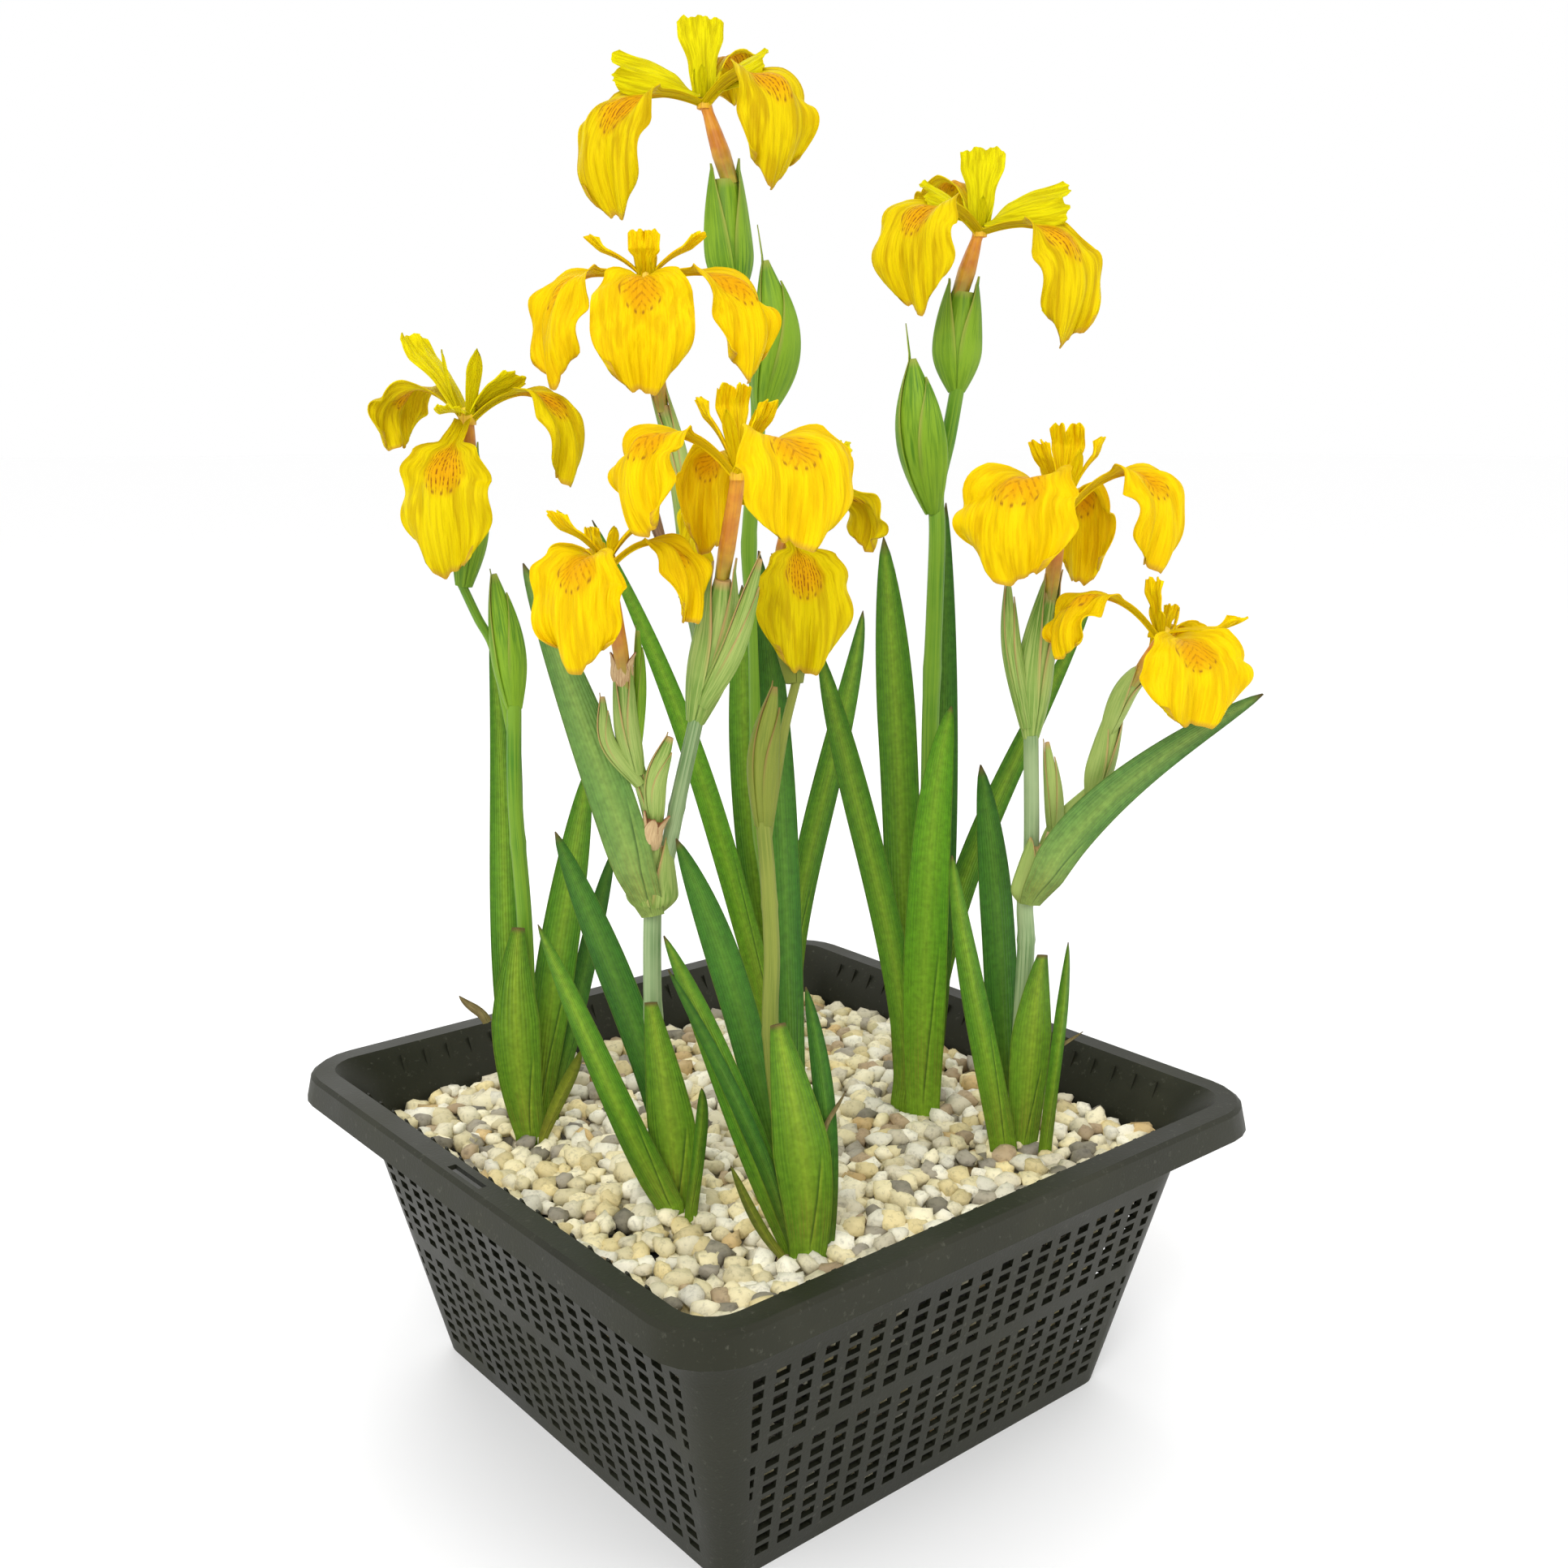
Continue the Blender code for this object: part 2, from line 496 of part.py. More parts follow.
def make_shoot(name, collection, cutters, fan, pieces):
    """A short branch with its bracts: overlapping spathes joined into one body."""
    shoot = make_spathe(name, collection, fan, *pieces[0])
    for i, piece in enumerate(pieces[1:]):
        bract = make_spathe(f"{name} bract {i}", cutters, fan, *piece)
        bract.hide_render = True
        bract.display_type = "WIRE"
        union = shoot.modifiers.new(bract.name, "BOOLEAN")
        union.operation = "UNION"
        union.solver = "EXACT"
        union.object = bract


# Flowers

def petal_path(reach, rise, drop, tip):
    """A fall's middle line: out of the hub, over its bend and down to the tip."""
    start = Vector((HUB_RADIUS, 0))
    return start, Vector((reach * 0.62, rise * 1.9)), Vector((reach * 1.28, rise - drop * 0.10)), \
        Vector((tip, -drop))


def petal_ring(centre, facing, slope, half, cup, roll=0.0):
    """Six points of a petal's section, its face to an azimuth: underside, then upper side."""
    out, across = direction(facing)
    normal = out * -slope.y + Vector((0, 0, slope.x))
    if roll:
        tip_over = Matrix.Rotation(math.radians(roll), 3, across.cross(normal))
        across = tip_over @ across
        normal = tip_over @ normal
    edge = normal * -cup
    half_thick = normal * (PETAL_THICKNESS / 2)
    left = centre - across * half + edge
    right = centre + across * half + edge
    return [left - half_thick, centre - half_thick, right - half_thick,
            right + half_thick, centre + half_thick, left + half_thick]


def direction(azimuth):
    """Unit vectors outwards and around at an azimuth from the viewer."""
    angle = math.radians(azimuth)
    out = Vector((math.sin(angle), -math.cos(angle), 0))
    around = Vector((math.cos(angle), math.sin(angle), 0))
    return out, around


def grow_petal(bm, foot, rings):
    """Loft a petal outwards from the hub's own vertices."""
    made = [foot] + [[bm.verts.new(point) for point in ring] for ring in rings]
    skin(bm, made)
    end = made[-1]
    if len(end) == 6:
        bm.faces.new((end[0], end[1], end[4], end[5]))
        bm.faces.new((end[1], end[2], end[3], end[4]))
    else:
        bm.faces.new(end)


def fall_rings(row, mirror, turn):
    """Rings of one fall."""
    azimuth, reach, rise, drop, tip, width, twist = row[:7]
    base = mirror * azimuth - turn
    out = direction(base)[0]
    path = petal_path(reach, rise, drop, tip)
    rings = []
    for t, share in FALL_STATIONS:
        point = bezier(*path, t)
        slope = (bezier(*path, min(t + 0.03, 1.0)) - bezier(*path, t - 0.03)).normalized()
        centre = out * point.x + Vector((0, 0, point.y - HUB_LEVEL / 2))
        half = max(width * share, FALL_CLAW_HALF)
        cup = half * (CUP[0] + CUP[1] * t) if t > FALL_CLAW else 0.0
        facing = base + mirror * twist * min(t / FALL_TURNED, 1.0)
        rings.append(petal_ring(centre, facing, slope, half, cup))
    return rings


def arm_rings(row, mirror, turn):
    """Rings of the style arm above a fall, forked at its end."""
    azimuth, length, rise, width, twist, roll = row[7:]
    base = mirror * azimuth - turn
    out = direction(base)[0]
    start = Vector((HUB_RADIUS, HUB_LEVEL / 2))
    end = Vector((length, rise))
    low = start + Vector((length * 0.30, rise * 0.55))
    high = end - Vector((length * 0.30, rise * 0.10))
    rings = []
    for t, share in ARM_STATIONS:
        point = bezier(start, low, high, end, t)
        slope = (bezier(start, low, high, end, min(t + 0.05, 1.0))
                 - bezier(start, low, high, end, t - 0.05)).normalized()
        centre = out * point.x + Vector((0, 0, point.y))
        rings.append(petal_ring(centre, base + mirror * twist * t, slope, width * share,
                                -width * ARM_CUP, mirror * roll * min(t / ARM_ROLLED, 1.0)))
    fork = (rings[-1][1] - rings[-2][1]) * ARM_FORK
    for middle in (1, 4):
        rings[-1][middle] = rings[-1][middle] - fork
    return rings


def standard_rings(azimuth, length, width):
    """Rings of a small upright standard between two falls."""
    out = direction(azimuth)[0]
    slope = Vector((STANDARD_LEAN, 1)).normalized()
    rings = []
    for t, share in STANDARD_STATIONS:
        centre = out * (STANDARD_FOOT + length * STANDARD_LEAN * t) + Vector((0, 0, length * t))
        ring = petal_ring(centre, azimuth, slope, width * share, 0)
        rings.append([ring[0], ring[2], ring[3], ring[5]])
    return rings


def make_flower(name, collection, fan, turn, form, hub, foot, size, mirrored):
    """One flower: hub and neck, with three falls, three style arms and three standards."""
    rows, standard_length, standard_width = FLOWER_FORMS[form]
    mirror = -1 if mirrored else 1
    rows = sorted(rows, key=lambda row: mirror * row[0] - turn)
    bm = bmesh.new()
    angles = []
    for row in rows:
        middle = mirror * row[0] - turn
        angles += [middle - PETAL_SPAN, middle, middle + PETAL_SPAN]
    down = (Vector(foot) - Vector(hub)) / size
    neck_foot = down * (1 - 2 * GAP / MILLI / down.length)
    lean = Vector((0, 0, -1)).rotation_difference(down)
    tiers = []
    for share, wide in NECK_TIERS:
        centre = neck_foot * share
        tiers.append([bm.verts.new(centre + lean @ direction(a)[0] * NECK_RADIUS * wide) for a in angles])
    for height in (-HUB_LEVEL, 0.0, HUB_LEVEL):
        up = Vector((0, 0, height))
        tiers.append([bm.verts.new(direction(a)[0] * HUB_RADIUS + up) for a in angles])
    skin(bm, tiers[:3])
    bm.faces.new(list(reversed(tiers[0])))
    bm.faces.new(tiers[-1])
    low, middle, high = tiers[2:]
    count = len(angles)
    for k, row in enumerate(rows):
        i = 3 * k
        foot_ring = [low[i], low[i + 1], low[i + 2], middle[i + 2], middle[i + 1], middle[i]]
        grow_petal(bm, foot_ring, fall_rings(row, mirror, turn))
        arm_ring = [middle[i], middle[i + 1], middle[i + 2], high[i + 2], high[i + 1], high[i]]
        grow_petal(bm, arm_ring, arm_rings(row, mirror, turn))
        j = (i + 3) % count
        bm.faces.new((middle[i + 2], middle[j], high[j], high[i + 2]))
        room = (angles[j] - angles[i + 2]) % 360
        share = min(room / STANDARD_ROOM, 1.0)
        grow_petal(bm, [low[i + 2], low[j], middle[j], middle[i + 2]],
                   standard_rings(angles[i + 2] + room / 2, standard_length * share,
                                  standard_width * share))
    place = Matrix.Translation(Vector(hub) * MILLI) @ Matrix.Scale(size * MILLI, 4)
    bmesh.ops.transform(bm, matrix=place, verts=bm.verts)
    return finish_object(bm, name, collection, YELLOW, 0.5, fan)


def make_fans(collection):
    """An empty at the root of each fan, turned to the fan's plane, under one for the planting."""
    planting = bpy.data.objects.new("planting", None)
    planting.location = (0, 0, GRAVEL_TOP)
    planting.rotation_euler = (0, 0, DIAGONAL)
    collection.objects.link(planting)
    fans = {}
    for fan, (across, back, turn) in FANS.items():
        root = bpy.data.objects.new("fan " + fan, None)
        root.location = (across, back, 0)
        root.rotation_euler = (0, 0, math.radians(turn))
        root.parent = planting
        collection.objects.link(root)
        fans[fan] = root
    bpy.context.view_layer.update()
    return fans


def main():
    clear_scene()
    parts = new_collection("yellow flag iris")
    cutters = new_collection("cutters")
    fans = make_fans(parts)
    make_basket(parts, cutters)
    make_gravel(parts, cutters, fans)
    make_leaves(parts, fans)
    for name, fan, low_width, high_width, points in STEMS:
        make_stem(name, parts, fans[fan], low_width, high_width, points)
    for name, fan, width, top_width, points in SPATHES:
        make_spathe(name, parts, fans[fan], width, top_width, points)
    for name, fan, pieces in SHOOTS:
        make_shoot(name, parts, cutters, fans[fan], pieces)
    for name, fan, form, hub, foot, size, mirrored in FLOWERS:
        make_flower(name, parts, fans[fan], FANS[fan][2], form, hub, foot, size, mirrored)


main()
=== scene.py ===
import math
import random

import bmesh
import bpy
from mathutils import Matrix, Vector, noise


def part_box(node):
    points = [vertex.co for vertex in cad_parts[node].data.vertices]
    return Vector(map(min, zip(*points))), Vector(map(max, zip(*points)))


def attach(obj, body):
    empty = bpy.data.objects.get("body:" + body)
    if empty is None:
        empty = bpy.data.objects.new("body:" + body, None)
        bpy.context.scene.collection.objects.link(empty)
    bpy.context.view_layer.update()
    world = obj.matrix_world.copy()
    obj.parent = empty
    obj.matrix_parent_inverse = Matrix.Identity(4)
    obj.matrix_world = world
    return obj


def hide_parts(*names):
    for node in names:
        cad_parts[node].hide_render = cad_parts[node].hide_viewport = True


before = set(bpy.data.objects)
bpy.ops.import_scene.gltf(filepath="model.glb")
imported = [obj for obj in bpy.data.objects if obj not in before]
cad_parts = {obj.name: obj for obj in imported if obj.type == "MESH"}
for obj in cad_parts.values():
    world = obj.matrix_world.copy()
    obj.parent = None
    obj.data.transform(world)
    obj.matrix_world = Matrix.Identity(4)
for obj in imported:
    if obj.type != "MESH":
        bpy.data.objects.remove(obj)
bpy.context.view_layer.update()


# Basket
# One moulding in matt anthracite plastic: leaning walls pierced with rows of rectangular holes,
# plain rounded corner posts, and a broad rim that folds down into a skirt.

WALL = 0.0020
RIM_HALF = 0.1500
RIM_WIDTH = 0.0117
RIM_RADIUS = 0.026
SKIRT_FLARE = 0.0015
BASKET_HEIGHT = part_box("basket")[1].z
SKIRT_BOTTOM = BASKET_HEIGHT - 0.012
WALL_TOP_HALF, WALL_TOP_RADIUS = 0.1328, 0.020
BASE_HALF, BASE_RADIUS = 0.1047, 0.010
HOLE_COLUMNS = 20
HOLE_PITCH = 0.01122        # from column to column, at the highest row
HOLE_WIDTH = 0.0063
HOLE_CONVERGE = 0.72        # how far a column leans in over the height of the wall, per metre
HOLE_ROWS = [0.0936 - 0.0060 * i for i in range(6)] + [0.0525 - 0.00605 * i for i in range(8)]
HOLE_HEIGHT = 0.0037
NARROWEST_HOLE = 0.0015
CORNER_STEPS = 7
SLOT_OUT = (0.14275, 0.14625)    # a slot through the rim of the side that faces -X, for a handle
SLOT_ALONG = (-0.0110, 0.0130)
SLOT_SIDE = 2
SLOT_COLUMNS = (8, 11)
RIM_EDGE = 0.0006           # the small bevel along the rim's outer edge
SEAM = 0.00001              # points nearer than this are one
RIB_SPACING = 0.0115
RIB_SIZE = (0.0008, 0.0018, 0.0100)
RIB_INSET, RIB_DROP = 0.0050, 0.0076    # from the rim's inner edge and top to a rib's middle


def pick(*objects):
    """Select these objects alone, with the first as the active one."""
    bpy.ops.object.select_all(action="DESELECT")
    for obj in objects:
        obj.select_set(True)
    if objects:
        bpy.context.view_layer.objects.active = objects[0]


def add_sheet(name, across, along, place):
    """A grid whose points are carried to place(u, v), with u and v from 0 to 1."""
    pick()
    bpy.ops.mesh.primitive_grid_add(x_subdivisions=across, y_subdivisions=along, size=1)
    sheet = bpy.context.object
    sheet.name = sheet.data.name = name
    for vertex in sheet.data.vertices:
        vertex.co = place(vertex.co.x + 0.5, vertex.co.y + 0.5)
    return sheet


def close_up(obj):
    """Merge the seams of a wrapped sheet, fill its open ends and turn its faces outwards."""
    pick(obj)
    bpy.ops.object.mode_set(mode="EDIT")
    bpy.ops.mesh.select_all(action="SELECT")
    bpy.ops.mesh.remove_doubles(threshold=SEAM)
    bpy.ops.mesh.select_all(action="DESELECT")
    bpy.ops.mesh.select_non_manifold()
    bpy.ops.mesh.fill_holes(sides=0)
    bpy.ops.mesh.select_all(action="SELECT")
    bpy.ops.mesh.normals_make_consistent(inside=False)
    bpy.ops.object.mode_set(mode="OBJECT")


def thicken(obj, thickness, offset=0.0, even=False):
    """Give an open sheet its thickness."""
    wall = obj.modifiers.new("thickness", "SOLIDIFY")
    wall.thickness = thickness
    wall.offset = offset
    wall.use_even_offset = even
    pick(obj)
    bpy.ops.object.modifier_apply(modifier=wall.name)


def join(objects, name):
    """Make one object of several."""
    pick(*objects)
    bpy.ops.object.join()
    objects[0].name = objects[0].data.name = name
    return objects[0]


def smooth(obj, angle):
    pick(obj)
    bpy.ops.object.shade_smooth_by_angle(angle=math.radians(angle))


def settle(obj, node=None, skin=None):
    """Give a finished piece its place on the frame, and its material if it has none yet."""
    if skin:
        obj.data.materials.append(skin)
    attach(obj, "root")
    if node:
        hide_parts(node)


def new_material(name, colour, roughness, specular=0.5):
    mat = bpy.data.materials.new(name)
    mat.use_nodes = True
    shader = mat.node_tree.nodes["Principled BSDF"]
    shader.inputs["Base Color"].default_value = (*colour, 1)
    shader.inputs["Roughness"].default_value = roughness
    shader.inputs["Specular IOR Level"].default_value = specular
    return mat


def feed(mat, socket, value):
    """Link an output to a socket, or set the socket's own value."""
    if isinstance(value, bpy.types.NodeSocket):
        mat.node_tree.links.new(value, socket)
    elif isinstance(value, tuple):
        socket.default_value = (*value, 1)
    else:
        socket.default_value = value


def add_node(mat, kind, inputs=None, **settings):
    made = mat.node_tree.nodes.new("ShaderNode" + kind)
    for key, value in settings.items():
        setattr(made, key, value)
    for key, value in (inputs or {}).items():
        feed(mat, made.inputs[key], value)
    return made


def calc(mat, operation, *values):
    return add_node(mat, "Math", dict(enumerate(values)), operation=operation).outputs[0]


def times(mat, first, second):
    return calc(mat, "MULTIPLY", first, second)


def blend(mat, share, first, second, mode="MIX"):
    """The first colour, with a share of the second over it."""
    mix = add_node(mat, "Mix", {0: share, 6: first, 7: second}, data_type="RGBA", blend_type=mode)
    return mix.outputs[2]


def ramp(mat, factor, stops, mode="LINEAR"):
    """Colours or greys at their places along a factor."""
    made = add_node(mat, "ValToRGB", {"Fac": factor})
    made.color_ramp.interpolation = mode
    elements = made.color_ramp.elements
    while len(elements) < len(stops):
        elements.new(0.5)
    for element, (position, colour) in zip(elements, stops):
        element.position = position
        element.color = (*colour, 1) if isinstance(colour, tuple) else (colour, colour, colour, 1)
    return made.outputs["Color"]


def place_on(mat):
    return add_node(mat, "TexCoord").outputs["Object"]


def grain_on(mat, place, scale, detail, roughness=0.5):
    """The grey value of a noise pattern."""
    inputs = {"Vector": place, "Scale": scale, "Detail": detail, "Roughness": roughness}
    return add_node(mat, "TexNoise", inputs).outputs["Fac"]


def dress(mat, colour=None, roughness=None, height=None, distance=0.001, strength=1.0):
    """Link what varies over the surface to the material's shader."""
    shader = mat.node_tree.nodes["Principled BSDF"]
    if colour is not None:
        feed(mat, shader.inputs["Base Color"], colour)
    if roughness is not None:
        feed(mat, shader.inputs["Roughness"], roughness)
    if height is not None:
        bump = add_node(mat, "Bump", {"Strength": strength, "Distance": distance, "Height": height})
        feed(mat, shader.inputs["Normal"], bump.outputs["Normal"])


def side_points(half, radius, z):
    """A ring round the basket: both edges of every column of holes, then the corner, four times."""
    flat = half - radius
    lean = 1 - HOLE_CONVERGE * max(HOLE_ROWS[0] - z, 0)
    points = []
    for side in range(4):
        turn = Matrix.Rotation(math.radians(90 * side), 3, "Z")
        for column in range(HOLE_COLUMNS):
            middle = (column - (HOLE_COLUMNS - 1) / 2) * HOLE_PITCH * lean
            for edge in (-HOLE_WIDTH / 2, HOLE_WIDTH / 2):
                along = max(min(middle + edge, flat), -flat)
                points.append(turn @ Vector((half, along, z)))
        for step in range(CORNER_STEPS):
            angle = math.radians(90 * step / (CORNER_STEPS - 1))
            points.append(turn @ Vector((flat + radius * math.cos(angle),
                                         flat + radius * math.sin(angle), z)))
    return points


def wall_row(z):
    share = z / SKIRT_BOTTOM
    half = BASE_HALF + (WALL_TOP_HALF - BASE_HALF) * share
    return half, BASE_RADIUS + (WALL_TOP_RADIUS - BASE_RADIUS) * share, z


def make_basket():
    """The walls and the rim as one sheet, with the holes and the slot left out, then thickened."""
    rows = [wall_row(0.0)]
    holed = set()
    for z in reversed(HOLE_ROWS):
        rows.append(wall_row(z - HOLE_HEIGHT / 2))
        holed.add(len(rows) - 1)
        rows.append(wall_row(z + HOLE_HEIGHT / 2))
    rows.append(wall_row(SKIRT_BOTTOM))
    lip = RIM_HALF - RIM_WIDTH + WALL
    lip_radius = RIM_RADIUS - RIM_WIDTH + WALL
    under = BASKET_HEIGHT - WALL
    rows += [
        (lip, lip_radius, under),
        (SLOT_OUT[0], lip_radius + SLOT_OUT[0] - lip, under),
        (SLOT_OUT[1], lip_radius + SLOT_OUT[1] - lip, under),
        (RIM_HALF - WALL - RIM_EDGE, RIM_RADIUS - WALL, under),
        (RIM_HALF - WALL, RIM_RADIUS - WALL, under - RIM_EDGE),
        (RIM_HALF + SKIRT_FLARE - WALL, RIM_RADIUS - WALL, SKIRT_BOTTOM),
    ]
    rings = [side_points(*row) for row in rows]
    around = len(rings[0])
    slot_row = len(rows) - 5
    slot_start = SLOT_SIDE * around // 4 + 2 * SLOT_COLUMNS[0] + 1
    slot_end = SLOT_SIDE * around // 4 + 2 * SLOT_COLUMNS[1]
    for ring in rings[slot_row - 1:slot_row + 3]:
        ring[slot_start].y = SLOT_ALONG[1]
        ring[slot_end].y = SLOT_ALONG[0]

    def place(u, v):
        return rings[round(v * (len(rows) - 1))][round(u * around) % around]

    basket = add_sheet("basket_mesh", around, len(rows) - 1, place)
    openings = []
    for face in basket.data.polygons:
        corners = [basket.data.vertices[i].co for i in face.vertices]
        row, column = divmod(face.index, around)
        spot = column % (around // 4)
        wide = max((a - b).length for a in corners for b in corners if abs(a.z - b.z) < 10 * SEAM)
        hole = row in holed and spot < 2 * HOLE_COLUMNS and spot % 2 == 0 and wide > NARROWEST_HOLE
        if hole or (row == slot_row and slot_start <= column < slot_end):
            openings.append(face.index)
    sheet = bmesh.new()
    sheet.from_mesh(basket.data)
    sheet.faces.ensure_lookup_table()
    bmesh.ops.delete(sheet, geom=[sheet.faces[i] for i in openings], context="FACES")
    bmesh.ops.remove_doubles(sheet, verts=sheet.verts, dist=SEAM)
    floor_ring = [edge for edge in sheet.edges
                  if edge.is_boundary and all(abs(vertex.co.z) < SEAM for vertex in edge.verts)]
    bmesh.ops.contextual_create(sheet, geom=floor_ring)
    bmesh.ops.recalc_face_normals(sheet, faces=sheet.faces)
    outermost = max((face for face in sheet.faces if face.calc_center_median().z < SKIRT_BOTTOM),
                    key=lambda face: face.calc_center_median().x)
    if outermost.normal.x < 0:
        bmesh.ops.reverse_faces(sheet, faces=sheet.faces)
    sheet.to_mesh(basket.data)
    sheet.free()
    thicken(basket, WALL, -1.0, True)
    return basket


def make_ribs():
    """The short upright ribs moulded on the inner side of the rim."""
    ribs = []
    inner = RIM_HALF - RIM_WIDTH
    lean = Matrix.Rotation(math.atan2(inner - WALL_TOP_HALF, BASKET_HEIGHT - SKIRT_BOTTOM), 4, "Y")
    count = int((WALL_TOP_HALF - RIM_RADIUS) * 2 / RIB_SPACING)
    for side in range(4):
        turn = Matrix.Rotation(math.radians(90 * side), 4, "Z")
        for i in range(count + 1):
            pick()
            bpy.ops.mesh.primitive_cube_add(size=1)
            rib = bpy.context.object
            middle = Vector((inner - RIB_INSET, (i - count / 2) * RIB_SPACING, BASKET_HEIGHT - RIB_DROP))
            scale = Matrix.Diagonal((*RIB_SIZE, 1))
            rib.data.transform(turn @ Matrix.Translation(middle) @ lean @ scale)
            ribs.append(rib)
    return join(ribs, "basket_ribs")


def plastic_material():
    """Dark plastic with a faint moulding grain, a paler bloom and specks of dust."""
    mat = new_material("anthracite plastic", (0.050, 0.052, 0.046), 0.5, 0.28)
    here = place_on(mat)
    bloom = grain_on(mat, here, 22.0, 6.0)
    dust = ramp(mat, grain_on(mat, here, 340.0, 4.0, 0.7), [(0.60, 0.0), (0.76, 0.30)])
    skin = ramp(mat, bloom, [(0.30, (0.008, 0.009, 0.005)), (0.55, (0.014, 0.015, 0.009)),
                             (0.78, (0.026, 0.027, 0.017))])
    dress(mat, colour=blend(mat, dust, skin, (0.150, 0.150, 0.115)),
          roughness=ramp(mat, bloom, [(0.3, 0.40), (0.7, 0.58)]),
          height=grain_on(mat, here, 900.0, 2.0), distance=0.0002, strength=0.35)
    mat.node_tree.nodes["Principled BSDF"].inputs["Specular Tint"].default_value = (1.0, 0.98, 0.80, 1)
    return mat


plastic = plastic_material()
basket = make_basket()
smooth(basket, 35)
settle(basket, "basket", plastic)
settle(make_ribs(), skin=plastic)


# Gravel
# Rounded pea shingle, 8 to 12 mm, mostly cream and straw with some grey, brown and orange stones.
# It is heaped in the basket up to just under the rim, and shows through the holes of the wall.

GRAVEL_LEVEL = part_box("gravel")[1].z - 0.0016
STONE_SPACING = 0.0076
STONE_SIZE = (0.0068, 0.0116)
STONE_HALF = 0.1265          # the stones' middles stay inside this half side at the top
STONE_CLEAR = 0.0068         # from a stone's middle to the inner side of the wall
STONE_SEED = 11
SIDE_STONE_SHARE = 0.42
STONE_FORMS = 7
STONE_JITTER = 0.0026
STONE_LAYERS = (0.0028, 0.0082)    # depth of the stones' middles under the level, layer by layer
SIDE_ROWS = (0.010, 0.098, 0.0085)    # lowest and highest row against the walls, and their spacing
SIDE_SPACING = 0.0095


def make_stone_forms():
    """Rough rounded lumps about one unit across, which the scattered stones are copied from."""
    rng = random.Random(STONE_SEED)
    forms = []
    for i in range(STONE_FORMS):
        pick()
        bpy.ops.mesh.primitive_uv_sphere_add(segments=8, ring_count=6, radius=0.5)
        stone = bpy.context.object
        shift = Vector((rng.uniform(0, 50), rng.uniform(0, 50), rng.uniform(0, 50)))
        for vertex in stone.data.vertices:
            way = vertex.co.normalized()
            blocky = max(abs(way.x), abs(way.y), abs(way.z)) ** -0.45
            vertex.co = vertex.co * blocky * (0.94 + 0.42 * noise.noise(way * 1.45 + shift))
        forms.append(stone)
    return forms


def scatter(name, forms, places):
    """One mesh of many stones, each a turned and sized copy of a form, with a tint of its own."""
    bed = bmesh.new()
    tint = bed.verts.layers.float_color.new("tint")
    for form, matrix, colour in places:
        start = len(bed.verts)
        bed.from_mesh(forms[form].data)
        bed.verts.ensure_lookup_table()
        for vertex in bed.verts[start:]:
            vertex.co = matrix @ vertex.co
            vertex[tint] = colour
    mesh = bpy.data.meshes.new(name)
    bed.to_mesh(mesh)
    bed.free()
    stones = bpy.data.objects.new(name, mesh)
    bpy.context.scene.collection.objects.link(stones)
    mesh.shade_smooth()
    return stones


def lay_stone(rng, middle):
    """A stone's form, its place with size and turn, and its tint."""
    form = rng.randrange(STONE_FORMS)
    size = rng.uniform(*STONE_SIZE)
    turn = Matrix.Rotation(rng.uniform(0, 6.28), 4, "Z") @ Matrix.Rotation(rng.uniform(-0.5, 0.5), 4, "X")
    scale = Matrix.Diagonal((size * rng.uniform(0.95, 1.20), size * rng.uniform(0.75, 1.0),
                             size * rng.uniform(0.62, 0.85), 1))
    return form, Matrix.Translation(middle) @ turn @ scale, (rng.random(), rng.random(), rng.random(), 1)


def top_stones(rng):
    places = []
    count = int(2 * STONE_HALF / STONE_SPACING)
    for layer, depth in enumerate(STONE_LAYERS):
        for i in range(count + 1):
            for j in range(count + 1):
                x = -STONE_HALF + i * STONE_SPACING + rng.uniform(-STONE_JITTER, STONE_JITTER)
                y = (-STONE_HALF + (j + 0.5 * (i % 2) + 0.3 * layer) * STONE_SPACING
                     + rng.uniform(-STONE_JITTER, STONE_JITTER))
                if max(abs(x), abs(y)) > STONE_HALF or math.hypot(x, y) > 1.30 * STONE_HALF:
                    continue
                heap = 0.0018 * noise.noise(Vector((x, y, 0)) * 22)
                z = GRAVEL_LEVEL - depth + heap + rng.uniform(-0.0024, 0.0014)
                limit = wall_row(z)[0] - WALL - STONE_CLEAR
                x, y = max(min(x, limit), -limit), max(min(y, limit), -limit)
                if layer == 1 and rng.random() < 0.15:
                    continue
                places.append(lay_stone(rng, Vector((x, y, z))))
    return places


def side_stones(rng):
    """Stones that lie against the holed walls."""
    places = []
    low, high, step = SIDE_ROWS
    for side in range(4):
        turn = Matrix.Rotation(math.radians(90 * side), 4, "Z")
        z = low
        while z < high:
            half = wall_row(z)[0] - WALL
            y = -half + 0.008
            while y < half - 0.008:
                if rng.random() < SIDE_STONE_SHARE:
                    x = half - STONE_CLEAR - rng.uniform(0, 0.0030)
                    middle = turn @ Vector((x, y, z + rng.uniform(-0.002, 0.002)))
                    places.append(lay_stone(rng, middle))
                y += SIDE_SPACING
            z += step
    return places


